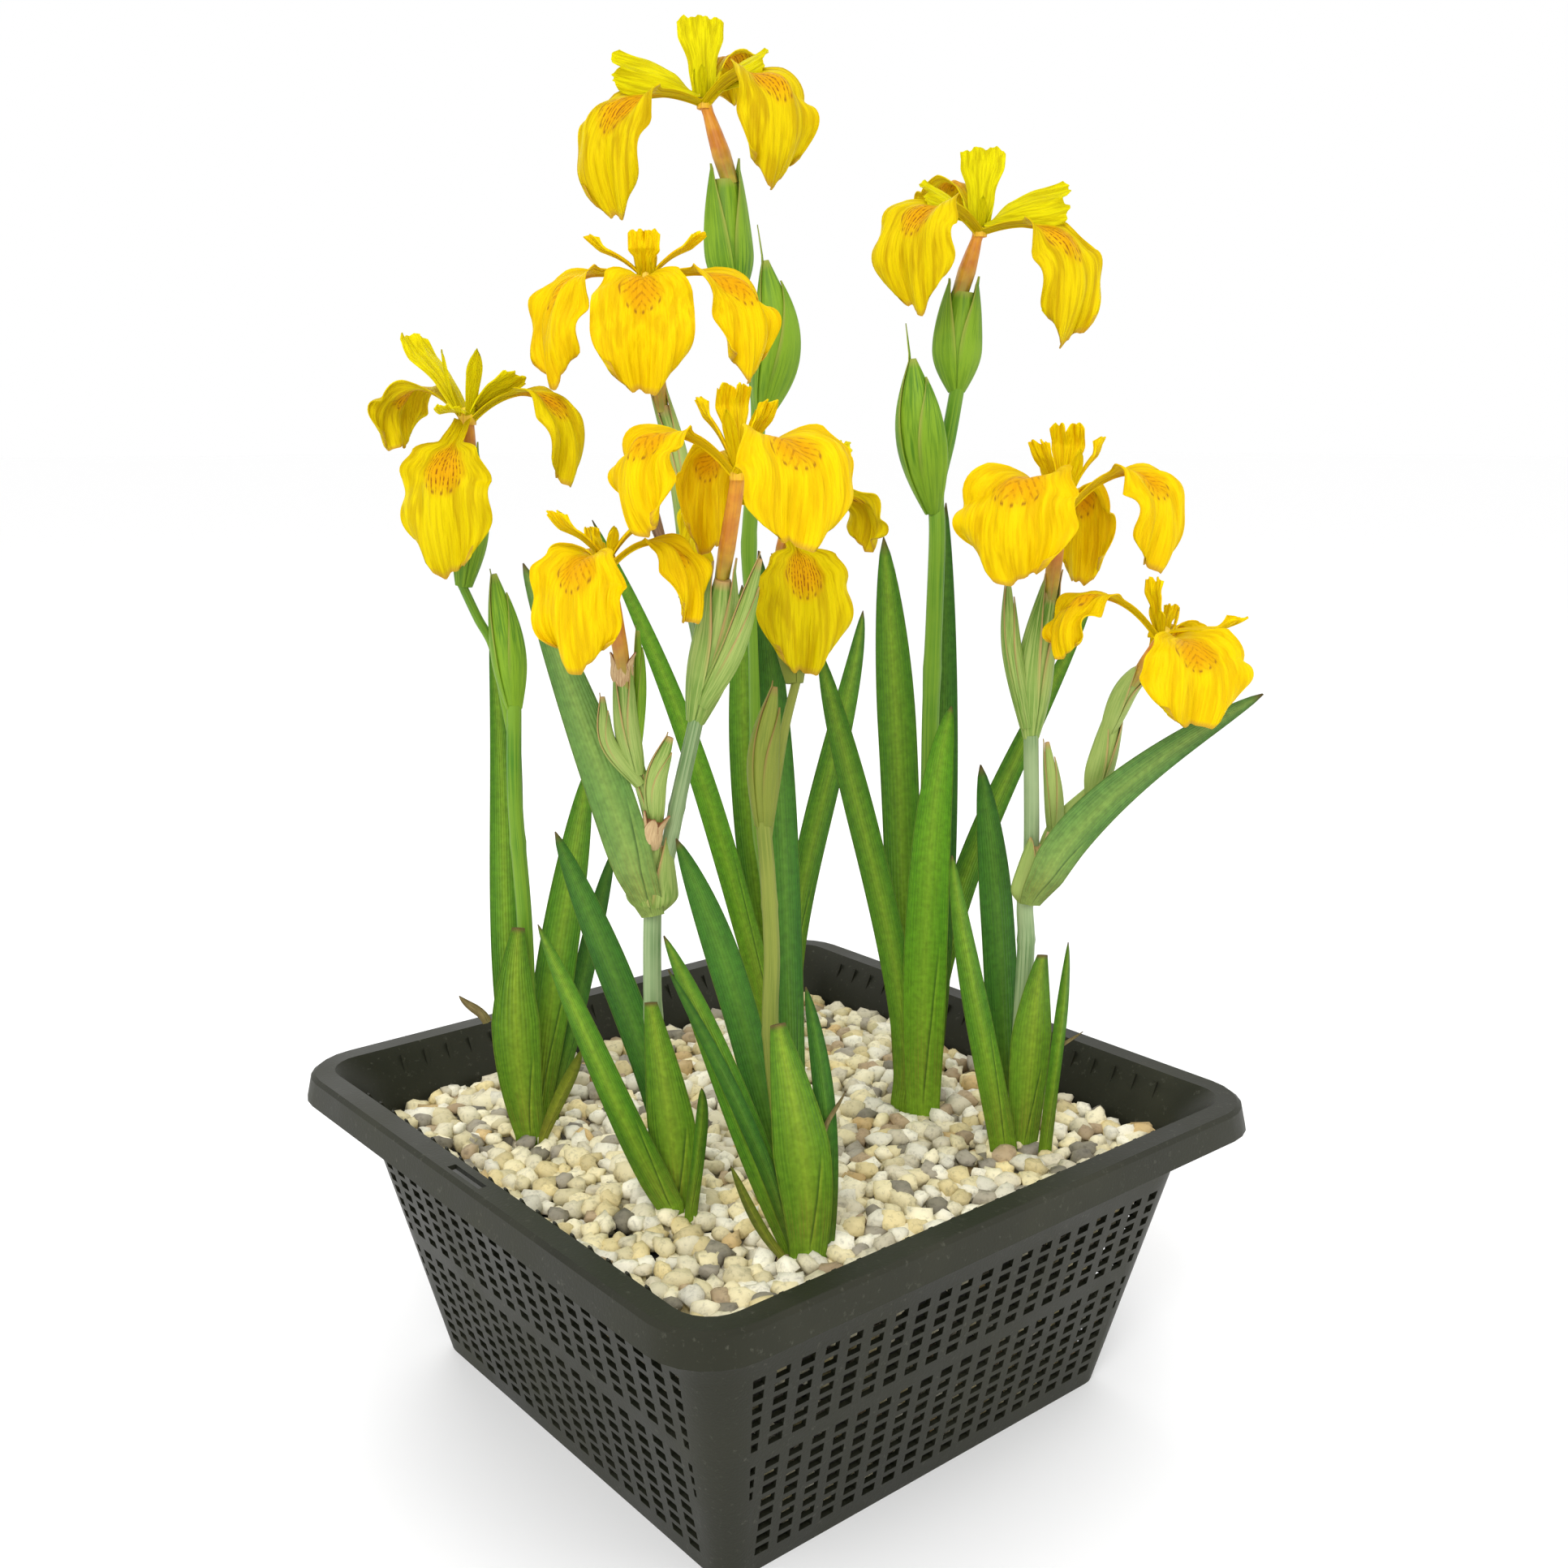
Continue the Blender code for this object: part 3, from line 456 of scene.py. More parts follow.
def shingle_material():
    """Stones of a few colours, picked by each stone's tint, with specks and blotches of their own."""
    mat = new_material("pea shingle", (0.7, 0.63, 0.45), 0.7)
    own = add_node(mat, "Attribute", attribute_name="tint", attribute_type="GEOMETRY")
    tint = add_node(mat, "SeparateColor", {"Color": own.outputs["Color"]})
    colour = ramp(mat, tint.outputs["Red"], [
        (0.00, (0.860, 0.790, 0.550)), (0.22, (0.820, 0.720, 0.420)), (0.42, (0.885, 0.850, 0.700)),
        (0.62, (0.780, 0.640, 0.300)), (0.72, (0.680, 0.620, 0.460)), (0.80, (0.270, 0.240, 0.200)),
        (0.86, (0.600, 0.390, 0.130)), (0.90, (0.070, 0.062, 0.055)), (0.95, (0.350, 0.230, 0.120)),
    ], "CONSTANT")
    here = place_on(mat)
    speck = grain_on(mat, here, 420.0, 6.0, 0.65)
    blotch = grain_on(mat, here, 130.0, 3.0)
    colour = blend(mat, times(mat, blotch, 0.40), colour, (0.84, 0.76, 0.50))
    worn = ramp(mat, speck, [(0.30, 0.62), (0.48, 0.96), (0.75, 1.0)])
    colour = blend(mat, 1.0, colour, worn, "MULTIPLY")
    shade = calc(mat, "MULTIPLY_ADD", tint.outputs["Green"], 0.34, 0.78)
    dress(mat, colour=blend(mat, 1.0, colour, shade, "MULTIPLY"),
          roughness=ramp(mat, speck, [(0.3, 0.85), (0.7, 0.6)]),
          height=speck, distance=0.0006, strength=0.7)
    return mat


shingle = shingle_material()
stone_forms = make_stone_forms()
stone_rng = random.Random(STONE_SEED)
settle(scatter("shingle_top", stone_forms, top_stones(stone_rng)), "gravel", shingle)
settle(scatter("shingle_sides", stone_forms, side_stones(stone_rng)), "gravel", shingle)
for stone in stone_forms:
    bpy.data.objects.remove(stone, do_unlink=True)

# The shaded fill behind the stones, a closed block: height and distance from the walls of each ring
CORE_RINGS = ((0.0035, 0.0105), (0.100, 0.0105), (GRAVEL_LEVEL - 0.0095, 0.0035))


def make_core():
    rings = []
    for height, inset in CORE_RINGS:
        half, radius, _ = wall_row(height)
        rings.append(side_points(half - WALL - inset, radius * 0.7, height))
    around = len(rings[0])
    core = add_sheet("shingle_core", around, 2,
                     lambda u, v: rings[round(v * 2)][round(u * around) % around])
    close_up(core)
    return core


def shade_material():
    mat = new_material("shaded shingle", (0.03, 0.027, 0.022), 0.95)
    cells = add_node(mat, "TexVoronoi", {"Vector": place_on(mat), "Scale": 110.0}).outputs["Distance"]
    dress(mat, colour=ramp(mat, cells, [(0.0, (0.085, 0.074, 0.055)), (0.55, (0.018, 0.016, 0.013))]),
          height=cells, distance=0.002, strength=0.6)
    return mat


settle(make_core(), "gravel", shade_material())


# Leaves
# Sword leaves of living tissue: each is folded on itself and fused flat, thick along the middle,
# and finely ribbed. They grow in flat fans from the rhizome, the outer ones clasping the inner.

SIGHT_TURN = math.radians(-39.78)      # the planting's diagonal faces the viewer
PLANT_LEVEL = 0.114
FANS = {                               # across, back, turn of the fan's plane in degrees
    "a": (-0.1000, -0.0110, 12), "b": (-0.0330, -0.0740, -10), "c": (0.0135, -0.1060, 10),
    "d": (0.0650, 0.0240, -12), "e": (0.1020, -0.0190, 14), "f": (0.0090, 0.0950, 8),
}
planting = Matrix.Translation((0, 0, PLANT_LEVEL)) @ Matrix.Rotation(SIGHT_TURN, 4, "Z")
fan_frames = {
    fan: planting @ Matrix.Translation((across, back, 0)) @ Matrix.Rotation(math.radians(turn), 4, "Z")
    @ Matrix.Scale(0.001, 4)
    for fan, (across, back, turn) in FANS.items()
}
# Fan, distance behind its plane, lean at the tip, base (across, width), handles and tip of the
# middle line (across, height), greatest width and where, kind, wave, height of the foot; in mm
LEAVES = {
    "leaf_a_1": ("a", -3.5, -4, (-1, 12), (-6, 30), (-7, 62), (-3, 94), 20, 0.55, "sheath", 0.2, -7),
    "leaf_a_2": ("a", 9.5, 15, (3, 9), (9, 62), (22, 112), (30, 153), 17, 0.34, "green", 1.0, -7),
    "leaf_a_3": ("a", 13.0, 28, (9, 6), (21, 46), (27, 72), (42, 113), 9, 0.60, "dark", 0.6, -7),
    "leaf_a_4": ("a", -7.0, -14, (4, 4), (10, 16), (18, 30), (20, 44), 6, 0.45, "yellow", 0.4, -7),
    "leaf_a_5": ("a", 16.5, 2, (-1, 9), (-14, 66), (-2, 140), (-9, 213), 13, 0.30, "green", 0.5, -7),
    "leaf_b_1": ("b", -7.0, -16, (-1, 11), (-14, 20), (-33, 74), (-46, 117), 13, 0.20, "green", 0.5, -7),
    "leaf_b_2": ("b", 9.5, 15, (-3, 13), (-4, 32), (-26, 80), (-54, 140), 14, 0.65, "dark", 0.8, -7),
    "leaf_b_3": ("b", -3.5, -4, (0, 14), (0, 28), (-5, 56), (-8, 84), 19, 0.40, "sheath", 0.2, -7),
    "leaf_b_4": ("b", -10.5, -13, (7, 5), (10, 24), (14, 45), (15, 58), 5, 0.55, "green", 0.3, -7),
    "leaf_c_1": ("c", 9.5, 25, (1, 11), (-15, 61), (-17, 92), (-40, 147), 13, 0.65, "dark", 0.8, -7),
    "leaf_c_2": ("c", -3.5, -12, (-2, 11), (-19, 40), (-30, 80), (-50, 126), 12, 0.28, "green", 0.5, -7),
    "leaf_c_3": ("c", 13.0, 72, (1, 10), (-2, 74), (3, 160), (-1, 248), 12, 0.65, "dark", 1.0, -7),
    "leaf_c_4": ("c", -7.0, -4, (2, 14), (3, 32), (-5, 62), (-10, 90), 21, 0.42, "sheath", 0.2, -7),
    "leaf_d_1": ("d", -3.5, -12, (-3, 12), (5, 37), (-25, 133), (-40, 204), 13, 0.65, "green", 0.8, -7),
    "leaf_d_2": ("d", 9.5, 12, (-1, 16), (-8, 92), (-7, 143), (-19, 249), 17, 0.70, "green", 1.2, -7),
    "leaf_d_3": ("d", -7.0, -20, (6, 15), (5, 60), (6, 143), (17, 184), 19, 0.30, "bright", 0.5, -7),
    "leaf_d_4": ("d", 13.0, 22, (6, 10), (9, 90), (10, 168), (6, 263), 15, 0.30, "dark", 1.0, -7),
    "leaf_d_5": ("d", 16.5, 38, (4, 9), (6, 95), (39, 145), (70, 220), 12, 0.33, "green", 1.0, -7),
    "leaf_e_1": ("e", -7.0, -16, (-4, 12), (-13, 46), (-28, 96), (-36, 133), 12, 0.15, "green", 0.4, -7),
    "leaf_e_2": ("e", 9.5, 15, (5, 14), (0, 51), (2, 88), (-7, 158), 15, 0.65, "dark", 0.9, -7),
    "leaf_e_3": ("e", -3.5, -4, (6, 13), (8, 30), (7, 58), (10, 84), 18, 0.55, "sheath", 0.2, -7),
    "leaf_e_4": ("e", -10.5, -13, (13, 6), (16, 36), (17, 64), (14, 94), 6, 0.42, "green", 0.4, -7),
    "leaf_f_1": ("f", -3.5, -10, (-4, 12), (-30, 90), (-38, 150), (-89, 255), 12, 0.36, "bright", 1.2, -7),
    "leaf_f_2": ("f", 9.5, 15, (1, 14), (-21, 90), (-19, 150), (-18, 222), 15, 0.60, "green", 1.0, -7),
    "leaf_f_3": ("f", 13.0, 28, (4, 12), (-3, 60), (34, 150), (44, 207), 14, 0.48, "green", 1.0, -7),
    "bract_leaf_b_long": ("b", -7.7, -12, (-8, 9), (-16, 150), (-32, 196), (-48, 248),
                          18, 0.30, "glaucous", 0.8, 116),
    "bract_leaf_e_long": ("e", -7.9, -14, (6, 9), (10, 128), (38, 160), (94, 191),
                          18, 0.30, "glaucous", 1.0, 104),
}
# Thin or torn bits that stand among the blades, in the same way
LEAF_SCRAPS = {
    "scrap_a_torn": ("a", -4.6, -2, (-17, 4), (-19, 58), (-24, 60), (-28, 66), 4, 0.40, "dry", 0.3, 53),
    "scrap_a_thin": ("a", 6.6, 4, (-2, 2), (0, 130), (0, 150), (1, 182), 3, 0.40, "dark", 0.4, 112),
    "scrap_c_yellow": ("c", -10.5, -22, (-8, 3), (-17, 11), (-22, 26), (-30, 48),
                       4, 0.43, "yellow", 0.2, -7),
    "scrap_c_side": ("c", -3.4, -2, (9, 7), (12, 36), (8, 70), (1, 101), 8, 0.45, "dark", 0.2, -7),
    "scrap_c_thin": ("c", -5.2, -14, (-3, 4), (-14, 40), (-30, 76), (-49, 115), 6, 0.40, "dark", 0.6, -7),
    "scrap_c_twig": ("c", -6.0, -3, (8, 2), (9, 50), (12, 54), (15, 62), 2, 0.30, "dry", 0.2, 46),
    "scrap_e_twig": ("e", -9.6, -3, (15, 2), (18, 44), (22, 46), (27, 51), 2, 0.30, "dry", 0.2, 43),
}
LEAF_POINT = 0.65           # how bluntly a blade narrows to its point
LEAF_STEPS = 44
ROOT_SHARE = 0.03           # of the blade's length, in the gravel
BRACT_HUG = 5.7             # how far back a bract leaf's foot lies, against the stem
BLUSH = (0.22, 0.14, 0.025)
LEAF_EDGE = (0.27, 0.30, 0.04)
DRY_TIP = (0.16, 0.09, 0.035)
# painted shadow under the lapping edge of an outer leaf
CREASE_SHADOW = (0.020, 0.060, 0.008)


def bezier(start, low, high, end, t):
    s = 1 - t
    return start * s**3 + low * (3 * s * s * t) + high * (3 * s * t * t) + end * t**3


def along_arc(arc, t, step):
    """The point at t of an arc, and its direction there."""
    ahead, behind = bezier(*arc, min(t + step, 1.0)), bezier(*arc, max(t - step, 0.0))
    return bezier(*arc, t), (ahead - behind).normalized()


def blade_half(t, base_width, width, widest, kind):
    """Half the blade's width: it swells to the widest place, then narrows to a point."""
    beyond = (t - widest) / (1 - widest)
    if t < widest:
        full = base_width + (width - base_width) * math.sin(math.pi / 2 * t / widest)
    elif kind == "sheath":
        full = width * (1 - 0.74 * beyond ** 1.25)
    else:
        full = width * max(1 - beyond * beyond, 0.0) ** LEAF_POINT
    return max(full, 0.5) / 2


def make_leaf(name, fan, layer, lean, base, low, high, tip, width, widest, kind, wave, foot):
    """A closed blade: sixteen points round its section, with a ridge up the middle of each face."""
    rooted = foot < 0
    start = Vector((base[0], 0 if rooted else foot))
    arc = (start, Vector(low), Vector(high), Vector(tip))
    phase = sum(ord(letter) for letter in name) % 7

    def place(u, v):
        t = max((v - ROOT_SHARE) / (1 - ROOT_SHARE), 0.0)
        point, along = along_arc(arc, t, 0.02)
        if rooted and v < ROOT_SHARE:
            point = Vector((start.x, foot * (1 - v / ROOT_SHARE)))
        angle = 2 * math.pi * u
        side = -math.cos(angle)
        face = -math.sin(angle)
        half = blade_half(t, base[1], width, widest, kind)
        thick = 0.18 + 0.72 * (1 - 0.55 * t) * (1 - abs(side) ** 1.6)
        if abs(side) < 0.3:
            thick += 0.22 * (1 - t)
        hug = BRACT_HUG * max(1 - 6 * t, 0) if name.startswith("bract") else 0
        sway = wave * min(t * 3, 1) * (0.8 * math.sin(5.2 * t + phase)
                                       + 0.35 * side * math.sin(11 * t + 2 * phase))
        fold = 0.9 * (abs(side) - 0.4) * min(t * 4, 1) * math.sin(math.pi * min(t * 1.1, 1))
        behind = layer + lean * t * t + hug + sway + fold - face * -thick * min(half, 1.0)
        return fan_frames[fan] @ Vector((point.x + along.y * side * half, behind,
                                         point.y - along.x * side * half))

    leaf = add_sheet(name + "_blade", 16, LEAF_STEPS, place)
    close_up(leaf)
    smooth(leaf, 50)
    settle(leaf, name if name in LEAVES else None, leaf_skins[kind])


def sheet_uv(mat):
    """The two ways along a sheet, each from 0 to 1."""
    split = add_node(mat, "SeparateXYZ", {"Vector": add_node(mat, "UVMap", uv_map="UVMap").outputs["UV"]})
    return split.outputs["X"], split.outputs["Y"]


def stretched(mat, *axes):
    """Coordinates for a pattern: each axis is an output and the factor that stretches it."""
    inputs = {axis: times(mat, output, factor) for axis, (output, factor) in zip("XYZ", axes)}
    return add_node(mat, "CombineXYZ", inputs).outputs["Vector"]


def leaf_material(name, deep_green, pale_green, glow, foot_glow, glow_top=0.42):
    """Ribbed green skin: the rib lines run up the blade, a highlight is painted along the middle, the foot
    is yellower.
    """
    mat = new_material(name, deep_green, 0.42, 0.20)
    round_u, up = sheet_uv(mat)
    across = calc(mat, "SUBTRACT", 1.0,
                  calc(mat, "ABSOLUTE", calc(mat, "MULTIPLY_ADD", round_u, 2.0, -1.0)))
    from_middle = calc(mat, "ABSOLUTE", calc(mat, "MULTIPLY_ADD", across, 2.0, -1.0))
    here = place_on(mat)
    drift = grain_on(mat, here, 14.0, 3.0)
    streak = grain_on(mat, stretched(mat, (across, 44.0), (up, 2.6), (drift, 2.0)), 1.0, 4.0)
    ribs = calc(mat, "SINE", times(mat, across, 105.0))
    skin = ramp(mat, drift, [(0.30, deep_green), (0.70, pale_green)])
    skin = blend(mat, ramp(mat, streak, [(0.44, 0.0), (0.60, 0.80)]), skin, pale_green)
    # painted highlight: the glow colour laid along the middle of each face
    spread = calc(mat, "DIVIDE", from_middle, calc(mat, "MULTIPLY_ADD", up, 0.35, 0.75))
    skin = blend(mat, ramp(mat, spread, [(0.0, 0.66), (0.18, 0.34), (0.5, 0.0)]), skin, glow)
    skin = blend(mat, ramp(mat, up, [(0.0, 0.85), (0.10, 0.45), (glow_top, 0.0)]), skin, foot_glow)
    blush = times(mat, ramp(mat, up, [(0.02, 0.0), (0.12, 0.5), (0.30, 0.0)]),
                  ramp(mat, streak, [(0.45, 0.0), (0.65, 1.0)]))
    skin = blend(mat, blush, skin, BLUSH)
    skin = blend(mat, ramp(mat, from_middle, [(0.90, 0.0), (0.985, 0.55)]), skin, LEAF_EDGE)
    skin = blend(mat, ramp(mat, up, [(0.975, 0.0), (0.995, 0.85)]), skin, DRY_TIP)
    # the edge of the outer leaf, which laps over the inner one from the foot up, is painted: a dark line of
    # shadow under it and a highlight on its lip
    lap = calc(mat, "SUBTRACT", across, times(mat, up, 0.55))
    below = ramp(mat, up, [(0.03, 0.0), (0.08, 1.0), (0.34, 1.0), (0.42, 0.0)])
    crease_shadow = times(mat, ramp(mat, lap, [(0.455, 0.0), (0.495, 1.0), (0.505, 0.0)]), below)
    lip = times(mat, ramp(mat, lap, [(0.500, 0.0), (0.515, 1.0), (0.560, 0.0)]), below)
    skin = blend(mat, times(mat, crease_shadow, 0.75), skin, CREASE_SHADOW)
    skin = blend(mat, times(mat, lip, 0.55), skin, glow)
    mottle = ramp(mat, grain_on(mat, here, 420.0, 3.0), [(0.30, 0.78), (0.70, 1.10)])
    skin = blend(mat, 1.0, skin, mottle, "MULTIPLY")
    rib_shade = ramp(mat, calc(mat, "MULTIPLY_ADD", ribs, 0.5, 0.5), [(0.0, 0.93), (1.0, 1.0)])
    dress(mat, colour=blend(mat, 1.0, skin, rib_shade, "MULTIPLY"),
          roughness=ramp(mat, streak, [(0.3, 0.38), (0.7, 0.55)]),
          height=calc(mat, "MULTIPLY_ADD", ribs, 0.35, streak), distance=0.00035, strength=0.8)
    return mat


# the third colour of each recipe (glow) is a painted highlight, along the middle and on the lapping edge
leaf_skins = {
    kind: leaf_material(*recipe) for kind, recipe in {
        "green": ("leaf green", (0.034, 0.148, 0.007), (0.100, 0.262, 0.011),
                  (0.270, 0.420, 0.028), (0.200, 0.340, 0.018)),
        "dark": ("leaf dark green", (0.016, 0.096, 0.008), (0.050, 0.175, 0.012),
                 (0.105, 0.240, 0.020), (0.130, 0.250, 0.016)),
        "bright": ("leaf bright green", (0.055, 0.225, 0.006), (0.130, 0.340, 0.012),
                   (0.260, 0.450, 0.028), (0.220, 0.370, 0.020)),
        "sheath": ("leaf sheath", (0.035, 0.145, 0.007), (0.120, 0.270, 0.012),
                   (0.330, 0.450, 0.032), (0.190, 0.330, 0.020), 0.95),
        "glaucous": ("leaf with bloom", (0.050, 0.160, 0.022), (0.130, 0.260, 0.050),
                     (0.240, 0.360, 0.070), (0.300, 0.390, 0.090)),
        "dry": ("leaf gone dry", (0.170, 0.120, 0.045), (0.300, 0.230, 0.090),
                (0.380, 0.300, 0.120), (0.220, 0.200, 0.060)),
        "yellow": ("leaf turning yellow", (0.130, 0.200, 0.012), (0.230, 0.290, 0.020),
                   (0.340, 0.370, 0.035), (0.300, 0.320, 0.030)),
    }.items()
}
for name, values in {**LEAVES, **LEAF_SCRAPS}.items():
    make_leaf(name, *values)


# Flowering stems
# Round, slightly glaucous green stems, 5 to 8 mm thick, finely lined lengthwise. Each grows from
# the middle of its fan and is jointed where a sheathing leaf clasped it.

STEM_ROOT = 2.6              # how far a stem runs up inside the spathe on it
JOINT_SWELL, JOINT_SHARE = 0.10, 0.012    # of the stem's width, and of its length
# Fan, width at the foot and the top, points up the middle (across, back, height), joints; in mm
STEMS = {
    "fan_a_stem": ("a", 7.0, 6.0, [(-2, 3, -7), (0, 3, 52), (0, 3, 95), (-2, 4, 145), (-1, 5, 182)],
                   (0.32, 0.66), "green"),
    "fan_a_branch": ("a", 4.0, 3.6, [(-1.6, 5.8, 169), (-4.0, 9.4, 183), (-8, 10, 207), (-14, 8, 220),
                                     (-19, 6, 232)], (), "green"),
    "fan_b_stem": ("b", 8.0, 5.4, [(-2, 3, -7), (-7, 3, 45), (-10, 3, 75), (-9, 3, 124), (-4, 2, 136),
                                   (3, -2, 164), (10, -6, 190)], (0.333, 0.50, 0.80), "glaucous"),
    "fan_b_back_stem": ("b", 3.6, 2.4, [(-11, 10, 124), (-5, 13, 141), (2, 25, 184), (2, 32, 210),
                                        (-3, 37, 230)], (0.5,), "glaucous"),
    "fan_c_stem": ("c", 6.6, 5.4, [(0, 3, -7), (-6, 3, 41), (-10, 4, 81), (-9, 7, 110), (-10, 10, 139),
                                   (-11, 12, 155)], (0.4, 0.72), "olive"),
    "fan_c_branch": ("c", 3.6, 3.4, [(-10.4, 12.5, 143), (-8.4, 18.0, 153), (-3, 31, 170),
                                     (2, 42, 186), (7, 49, 200)], (), "olive"),
    "fan_d_stem": ("d", 8.4, 6.0, [(1, 3, -7), (3, 3, 58), (5, 3, 132), (5, 3, 179), (6, 5, 247),
                                   (5, 8, 269), (9, 11, 290), (12, 11, 308)], (0.46,), "green"),
    "fan_e_stem": ("e", 8.0, 6.0, [(5, 3, -7), (6, 3, 40), (7, 3, 85), (6, 3, 103), (8, 3, 123),
                                   (5, 0, 172)], (0.42, 0.62), "glaucous"),
    "fan_f_stem": ("f", 8.4, 6.0, [(-2, 3, -7), (-8, 3, 75), (-13, 3, 116), (-14, 4, 198), (-17, 4, 242),
                                   (-12, 8, 303), (-18, 11, 340), (-22, 11, 350)], (0.30, 0.57), "green"),
}


def through(points, t):
    """A point on the smooth curve through the given points, t from 0 to 1."""
    spans = len(points) - 1
    at = min(int(t * spans), spans - 1)
    u = t * spans - at
    p1 = points[at]
    p2 = points[at + 1]
    p0 = points[at - 1] if at > 0 else p1 * 2 - p2
    p3 = points[at + 2] if at + 2 <= spans else p2 * 2 - p1
    return (p1 * 2 + (p2 - p0) * u + (p0 * 2 - p1 * 5 + p2 * 4 - p3) * u * u
            + (p1 * 3 - p0 - p2 * 3 + p3) * u**3) / 2


def section_frame(line, t):
    """Middle, side and front of the section at t of a line."""
    along = (through(line, min(t + 0.03, 1.0)) - through(line, max(t - 0.03, 0.0))).normalized()
    side = along.cross(Vector((0, 1, 0))).normalized()
    return through(line, t), side, side.cross(along).normalized()


def stalk_material(name, low, high, shine):
    """Finely lined skin, between two greens."""
    mat = new_material(name, low, shine, 0.22)
    around, along = sheet_uv(mat)
    bands = grain_on(mat, place_on(mat), 30.0, 3.0)
    lines = grain_on(mat, stretched(mat, (around, 34.0), (along, 3.0), (bands, 1.0)), 1.0, 3.0)
    skin = ramp(mat, bands, [(0.3, low), (0.7, high)])
    dress(mat, colour=blend(mat, ramp(mat, lines, [(0.44, 0.0), (0.60, 0.9)]), skin, high),
          roughness=ramp(mat, lines, [(0.3, shine - 0.06), (0.7, shine + 0.08)]),
          height=lines, distance=0.0004, strength=0.7)
    return mat


stalk_skins = {
    "green": stalk_material("stem green", (0.060, 0.190, 0.008), (0.170, 0.310, 0.020), 0.42),
    "glaucous": stalk_material("stem blue-green bloom", (0.090, 0.190, 0.055), (0.300, 0.390, 0.190), 0.50),
    "olive": stalk_material("stem olive", (0.110, 0.160, 0.016), (0.220, 0.250, 0.040), 0.45),
}


def make_stem(name, fan, low_width, high_width, points, joints, skin):
    """A round, faintly fluted stem that swells at its joints."""
    line = [Vector(point) for point in points]
    line[-1] += (line[-1] - line[-2]).normalized() * STEM_ROOT

    def radius(t):
        swell = sum(JOINT_SWELL * math.exp(-((t - joint) / JOINT_SHARE) ** 2) for joint in joints)
        return (low_width + (high_width - low_width) * t) / 2 * (1 + swell)

    def place(u, v):
        middle, side, front = section_frame(line, v)
        angle = 2 * math.pi * u
        out = side * math.cos(angle) + front * math.sin(angle)
        return fan_frames[fan] @ (middle + out * radius(v) * (1 + 0.018 * math.cos(9 * angle)))

    stem = add_sheet(name + "_stalk", 18, 10 * len(points), place)
    close_up(stem)
    smooth(stem, 50)
    settle(stem, name, stalk_skins[skin])


for name, values in STEMS.items():
    make_stem(name, *values)


# Spathes and buds
# A spathe is two or three keeled green bracts rolled round each other, with thin papery edges that
# brown and dry as the flower opens. A bud stands in one that is still shut, furled to a point.

SPATHE_FOOT, FOOT_LIMIT = 0.62, 5.4    # of the greatest width, but at most so many mm
SPATHE_BELLY = 0.42         # where a spathe is widest, from foot to tip
SPATHE_DEPTH = 0.76         # of its width
SPATHE_OPEN = 0.93          # how far the body of an open spathe reaches
BRACT_CLEAR = 0.22          # from the body to the bracts round it
BRACT_THICKNESS = 0.00035
AWNED = 15                  # buds wider than this have a long awn
# Bracts round a body: turn, reach, share of the way round, and how far the tip stands off
BRACTS = {
    "shut": [(200, 0.86, 0.44, 0.10), (20, 1.04, 0.36, 0.16)],
    "awned": [(200, 0.86, 0.44, 0.10), (20, 1.22, 0.36, 0.16)],
    "papery": [(180, 1.25, 0.40, 1.10), (-15, 1.15, 0.40, 0.90), (265, 1.10, 0.30, 0.70)],
    "open": [(172, 1.08, 0.50, 0.12), (-12, 1.04, 0.46, 0.18)],
}
# Fan, greatest width, width of the top, points up the middle, kind, whether it is shut; in mm
SPATHES = {
    "fan_a_bud": ("a", 12.5, 2.0, [(-1, 5, 183), (-3, 4, 210), (-7, 2, 238)], "green", True),
    "fan_a_spathe": ("a", 12.0, 6.0, [(-19, 6, 233), (-15, 4, 259), (-15, 3, 285)], "green", False),
    "fan_c_bud": ("c", 9.8, 1.8, [(-11, 12, 156), (-11, 12, 182), (-7, 11, 206)], "olive", True),
    "fan_c_spathe": ("c", 12.0, 6.0, [(7, 50, 201), (6, 57, 227), (4, 61, 247)], "olive", False),
    "fan_d_bud": ("d", 19.0, 2.5, [(3.8, 4.8, 260), (-1, -4, 294), (-4, -6, 322)], "green", True),
    "fan_d_spathe": ("d", 17.5, 10.0, [(12, 11, 309), (12, 11, 330), (14, 11, 352)], "green", False),
    "fan_f_bud": ("f", 19.5, 2.5, [(-10.4, 5.4, 299), (-5, -3, 333), (-10, -5, 367)], "green", True),
    "fan_f_spathe": ("f", 19.5, 11.0, [(-22, 11, 351), (-25, 11, 376), (-26, 11, 407)], "green", False),
}
